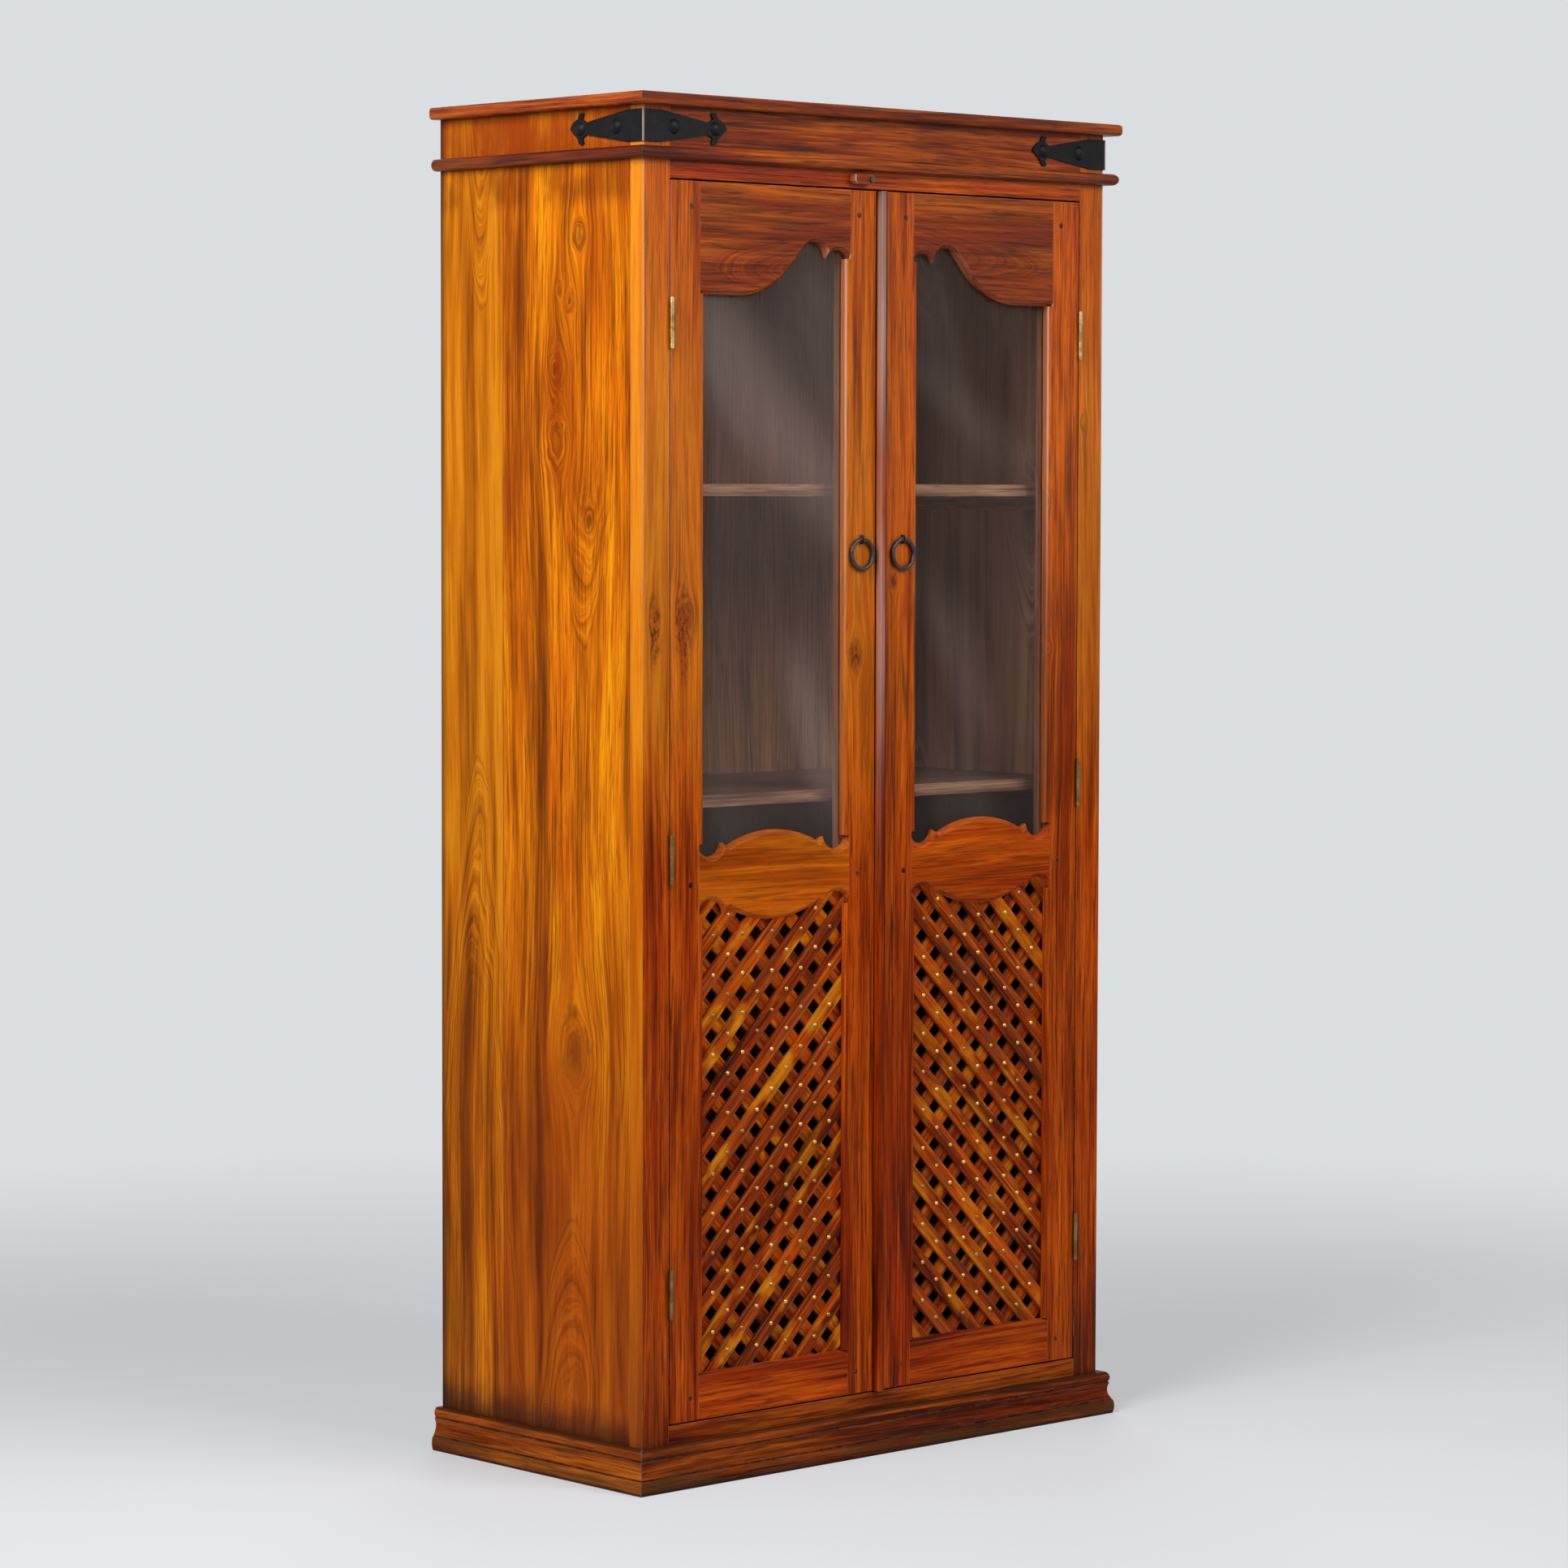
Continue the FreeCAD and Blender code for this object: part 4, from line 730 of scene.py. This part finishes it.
def dress_glass():
    """Thin panes: the cabinet's dark inside shows through, under a faint film with reflections painted on in
    fixed places.
    """
    pane = Finish("window_glass", Roughness=0.08, Base_Color=shade(255, 226, 214))
    x, y, z = pane.place()
    slant = pane.noise((x * 5.5 + z * 2.6, y, z * 1.1 - x * 1.4), detail=3.0)
    glint_streaks = pane.noise((x * 60.0 + z * 20.0, y, z * 3.0), detail=3.0)
    # How much of the film shows: painted reflections that stay in place
    gleam = slant.fade(0.46, 0.72, 0.015, 0.030) + glint_streaks.fade(0.55, 0.8, 0.0, 0.006)
    gleam = gleam + x.fade(0.0, -0.08) * 0.010
    for spot_x, spot_z, lean, reach, strength in GLEAMS:
        aslant = (x - spot_x + (z - spot_z) * lean + (slant - 0.5) * 0.1).size()
        level = (z - spot_z).size()
        gleam = gleam + aslant.fade(reach, 0.0) * level.fade(reach * 2.5, reach * 0.5) * strength
    clear = pane.node("ShaderNodeBsdfTransparent", sockets={"Color": shade(246, 247, 246)})
    skin = Wire(pane, pane.shader.outputs["BSDF"])
    mixed = pane.node("ShaderNodeMixShader", sockets={0: gleam, 1: clear, 2: skin})
    pane.feed(pane.tree.nodes["Material Output"], {"Surface": mixed})
    for side in SIDES:
        dress(f"{side}_door_glass", pane)


# New pieces: tongues in the joints of the back, and the lattice's nails

# Shares of the boards' thickness and of the joint's width
TONGUE_DEPTH = 0.4
TONGUE_EASE = 0.2


def copies_at(model, places):
    """Copies of a piece, each with its own mesh, moved to their places."""
    copies = []
    for place in places:
        copy = model.copy()
        copy.data = model.data.copy()
        copy.location = place
        scene.collection.objects.link(copy)
        copies.append(copy)
    return copies


def joined(copies, name):
    """One piece made of several, with its place in its mesh."""
    bpy.ops.object.select_all(action="DESELECT")
    for copy in copies:
        copy.select_set(True)
    bpy.context.view_layer.objects.active = copies[0]
    bpy.ops.object.join()
    bpy.ops.object.transform_apply(location=True, rotation=True, scale=True)
    piece = bpy.context.object
    piece.name = name
    return piece


def model_tongue():
    """One thin strip as tall as the back, in the middle of the boards' thickness."""
    low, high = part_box("back_boards")
    middle = (low + high) / 2
    bpy.ops.object.select_all(action="DESELECT")
    bpy.ops.mesh.primitive_cube_add(size=1.0, location=(0.0, middle.y, middle.z),
                                    scale=(BACK_JOINT, (high.y - low.y) * TONGUE_DEPTH, high.z - low.z))
    tongue = bpy.context.object
    bpy.ops.object.transform_apply(location=True, rotation=True, scale=True)
    bpy.ops.object.mode_set(mode="EDIT")
    bpy.ops.mesh.select_all(action="SELECT")
    bpy.ops.mesh.bevel(offset=BACK_JOINT * TONGUE_EASE, segments=1, affect="EDGES")
    bpy.ops.object.mode_set(mode="OBJECT")
    return tongue


def add_joint_strips():
    """Tongues that close the joints of the back, so that no light comes through."""
    first, pitch = back_places()
    tongue = model_tongue()
    copies = copies_at(tongue, [(first + pitch * number - BACK_JOINT / 2, 0.0, 0.0)
                                for number in range(1, BACK_COUNT)])
    bpy.data.objects.remove(tongue)
    finish = Timber("back_joint_strips", "Z", PLUM)
    finish.stain(0.6, SOOT_AND_SHADE)
    piece = joined(copies, "back_joint_strips")
    dress(piece, finish.done(worn=0))
    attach(piece, "carcass")


NAIL_RADIUS = 0.0031
NAIL_FLATTEN = 0.72
NAIL_INSET = 0.0115
NAIL_SIDES = 10
NAIL_RINGS = 6
# The lower edge of the middle rail: reach, height and rise of its bow, reach and height of its points
RAIL_BOW = (0.080, 0.728, 0.019)
RAIL_POINTS = (0.096, 0.741)
RAIL_SCALLOPS = 0.757


def shown(side, x, z):
    """Whether a crossing shows between the stiles, the bottom rail and the shaped middle rail."""
    low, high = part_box(f"{side}_door_glass")
    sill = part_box(f"{side}_door_lattice_front")[0].z + NAIL_INSET
    aside = abs(x - (low.x + high.x) / 2)
    if not low.x + NAIL_INSET < x < high.x - NAIL_INSET or z < sill:
        return False
    bow_reach, bow_low, bow_rise = RAIL_BOW
    if aside < bow_reach:
        return z < bow_low + bow_rise * (aside / bow_reach) ** 2
    return z < (RAIL_POINTS[1] if aside < RAIL_POINTS[0] else RAIL_SCALLOPS)


def model_nail():
    """One domed nail head at the origin, facing the front."""
    bpy.ops.object.select_all(action="DESELECT")
    bpy.ops.mesh.primitive_uv_sphere_add(segments=NAIL_SIDES, ring_count=NAIL_RINGS, radius=NAIL_RADIUS,
                                         rotation=(math.pi / 2, 0.0, 0.0))
    nail = bpy.context.object
    bpy.ops.object.transform_apply(location=True, rotation=True, scale=True)
    bpy.ops.object.mode_set(mode="EDIT")
    bpy.ops.mesh.select_all(action="SELECT")
    bpy.ops.mesh.bisect(plane_co=(0.0, 0.0, 0.0), plane_no=(0.0, 1.0, 0.0), use_fill=True, clear_outer=True)
    bpy.ops.mesh.select_all(action="SELECT")
    bpy.ops.transform.resize(value=(1.0, NAIL_FLATTEN, 1.0), center_override=(0.0, 0.0, 0.0))
    bpy.ops.mesh.normals_make_consistent(inside=False)
    bpy.ops.object.mode_set(mode="OBJECT")
    bpy.ops.object.shade_smooth_by_angle(angle=math.radians(50))
    return nail


def nail_lattice(side, nail, finish):
    """A nail in each crossing of a door's lattice, joined into one piece."""
    middle = lattice_middle(side)
    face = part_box(f"{side}_door_lattice_front")[0].y
    places = []
    for column in range(-LATTICE_COLUMNS, LATTICE_COLUMNS + 1):
        for row in range(-LATTICE_ROWS, LATTICE_ROWS + 1):
            x = middle.x + column * LATTICE_STEP
            z = middle.z + row * LATTICE_STEP
            if (column + row) % 2 == 0 and shown(side, x, z):
                places.append((x, face, z))
    piece = joined(copies_at(nail, places), f"{side}_lattice_nails")
    dress(piece, finish)
    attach(piece, f"{side}_door")


def add_nails():
    """Brass nails, one model for both doors."""
    bright = metal("bright_brass", shade(214, 176, 98), shade(150, 112, 52), 0.22)
    nail = model_nail()
    for side in SIDES:
        nail_lattice(side, nail, bright)
    bpy.data.objects.remove(nail)


# Floor, light and camera

BACKDROP = shade(218, 222, 225)
FLOOR_NEAR = 1.0
FLOOR_FAR = 3.2
FLOOR_SIZE = 200.0
WORLD_LIGHT = 0.2
# Place, aim, size and power of each lamp
LAMPS = {"key_softbox": ((-2.4, -0.6, 2.6), (-0.4, 0.0, 1.2), (1.5, 1.5), 76.0),
         "fill_softbox": ((0.5, -2.7, 2.9), (0.0, -0.2, 1.2), (2.0, 1.6), 64.0),
         "back_softbox": ((2.4, 2.6, 2.6), (0.2, 0.1, 1.0), (1.6, 1.6), 30.0)}


def add_floor():
    """Pale paper that keeps the shadow near the cabinet and turns into the backdrop further off."""
    bpy.ops.object.select_all(action="DESELECT")
    bpy.ops.mesh.primitive_plane_add(size=FLOOR_SIZE, location=(0.0, 0.0, 0.0))
    floor = bpy.context.object
    floor.name = "studio_floor"
    paper = Finish("studio_paper", Roughness=0.9, Specular_IOR_Level=0.1)
    x, y, z = paper.place()
    tone = paper.noise((x * 0.6, y * 0.6, z), detail=2.0)
    paper.feed(paper.shader, {"Base Color": paper.ramp(tone, [(0.3, shade(221, 224, 228)),
                                                              (0.7, shade(225, 228, 232))])})
    glow = paper.node("ShaderNodeEmission", sockets={"Color": BACKDROP, "Strength": 1.0})
    far = (x * x + y * y).root().fade(FLOOR_NEAR, FLOOR_FAR, 0.3, 1.0)
    straight = paper.node("ShaderNodeLightPath", output="Is Camera Ray")
    mirrored = paper.node("ShaderNodeLightPath", output="Is Glossy Ray")
    near = Wire(paper, paper.shader.outputs["BSDF"])
    mixed = paper.node("ShaderNodeMixShader", sockets={0: far * straight.most(mirrored), 1: near, 2: glow})
    paper.feed(paper.tree.nodes["Material Output"], {"Surface": mixed})
    dress(floor, paper)


def add_lamp(name, spot, aim, size, power):
    """A soft box that faces its aim."""
    data = bpy.data.lights.new(name, "AREA")
    data.shape = "RECTANGLE"
    data.size, data.size_y = size
    data.energy = power
    lamp = bpy.data.objects.new(name, data)
    lamp.location = spot
    lamp.rotation_euler = (Vector(aim) - Vector(spot)).to_track_quat("-Z", "Y").to_euler()
    scene.collection.objects.link(lamp)


def add_world():
    """Soft white light all round; what the camera, metal and glass see of it is the pale backdrop."""
    world = bpy.data.worlds.new("soft_studio")
    scene.world = world
    world.use_nodes = True
    tree = world.node_tree
    light = tree.nodes["Background"]
    light.inputs["Color"].default_value = (1.0, 1.0, 1.0, 1.0)
    light.inputs["Strength"].default_value = WORLD_LIGHT
    seen = tree.nodes.new("ShaderNodeBackground")
    seen.inputs["Color"].default_value = BACKDROP
    path = tree.nodes.new("ShaderNodeLightPath")
    either = path.outputs["Is Camera Ray"]
    for ray in ("Is Glossy Ray", "Is Transmission Ray"):
        more = tree.nodes.new("ShaderNodeMath")
        more.operation = "MAXIMUM"
        tree.links.new(either, more.inputs[0])
        tree.links.new(path.outputs[ray], more.inputs[1])
        either = more.outputs["Value"]
    mix = tree.nodes.new("ShaderNodeMixShader")
    tree.links.new(either, mix.inputs["Fac"])
    tree.links.new(light.outputs["Background"], mix.inputs[1])
    tree.links.new(seen.outputs["Background"], mix.inputs[2])
    tree.links.new(mix.outputs["Shader"], tree.nodes["World Output"].inputs["Surface"])


CAMERA_SPOT = (-4.6254, -5.0073, 1.3027)
CAMERA_DIP = math.radians(3.439)
CAMERA_TURN = math.radians(-42.757)
CAMERA_ROLL = math.radians(0.136)
SENSOR = 36.0
LENS = 114.7


def add_camera():
    """The camera at the photograph's viewing angle."""
    data = bpy.data.cameras.new("camera")
    data.sensor_width = SENSOR
    data.lens = LENS
    data.clip_end = FLOOR_SIZE
    camera = bpy.data.objects.new("camera", data)
    camera.location = CAMERA_SPOT
    level = Euler((math.radians(90) - CAMERA_DIP, 0.0, CAMERA_TURN)).to_quaternion()
    camera.rotation_euler = (level @ Quaternion((0.0, 0.0, 1.0), CAMERA_ROLL)).to_euler()
    scene.collection.objects.link(camera)
    scene.camera = camera


dress_carcass()
dress_doors()
dress_metal()
dress_glass()
add_nails()
add_joint_strips()
add_floor()
add_world()
for lamp_name, settings in LAMPS.items():
    add_lamp(lamp_name, *settings)
add_camera()
scene.view_settings.view_transform = "Standard"
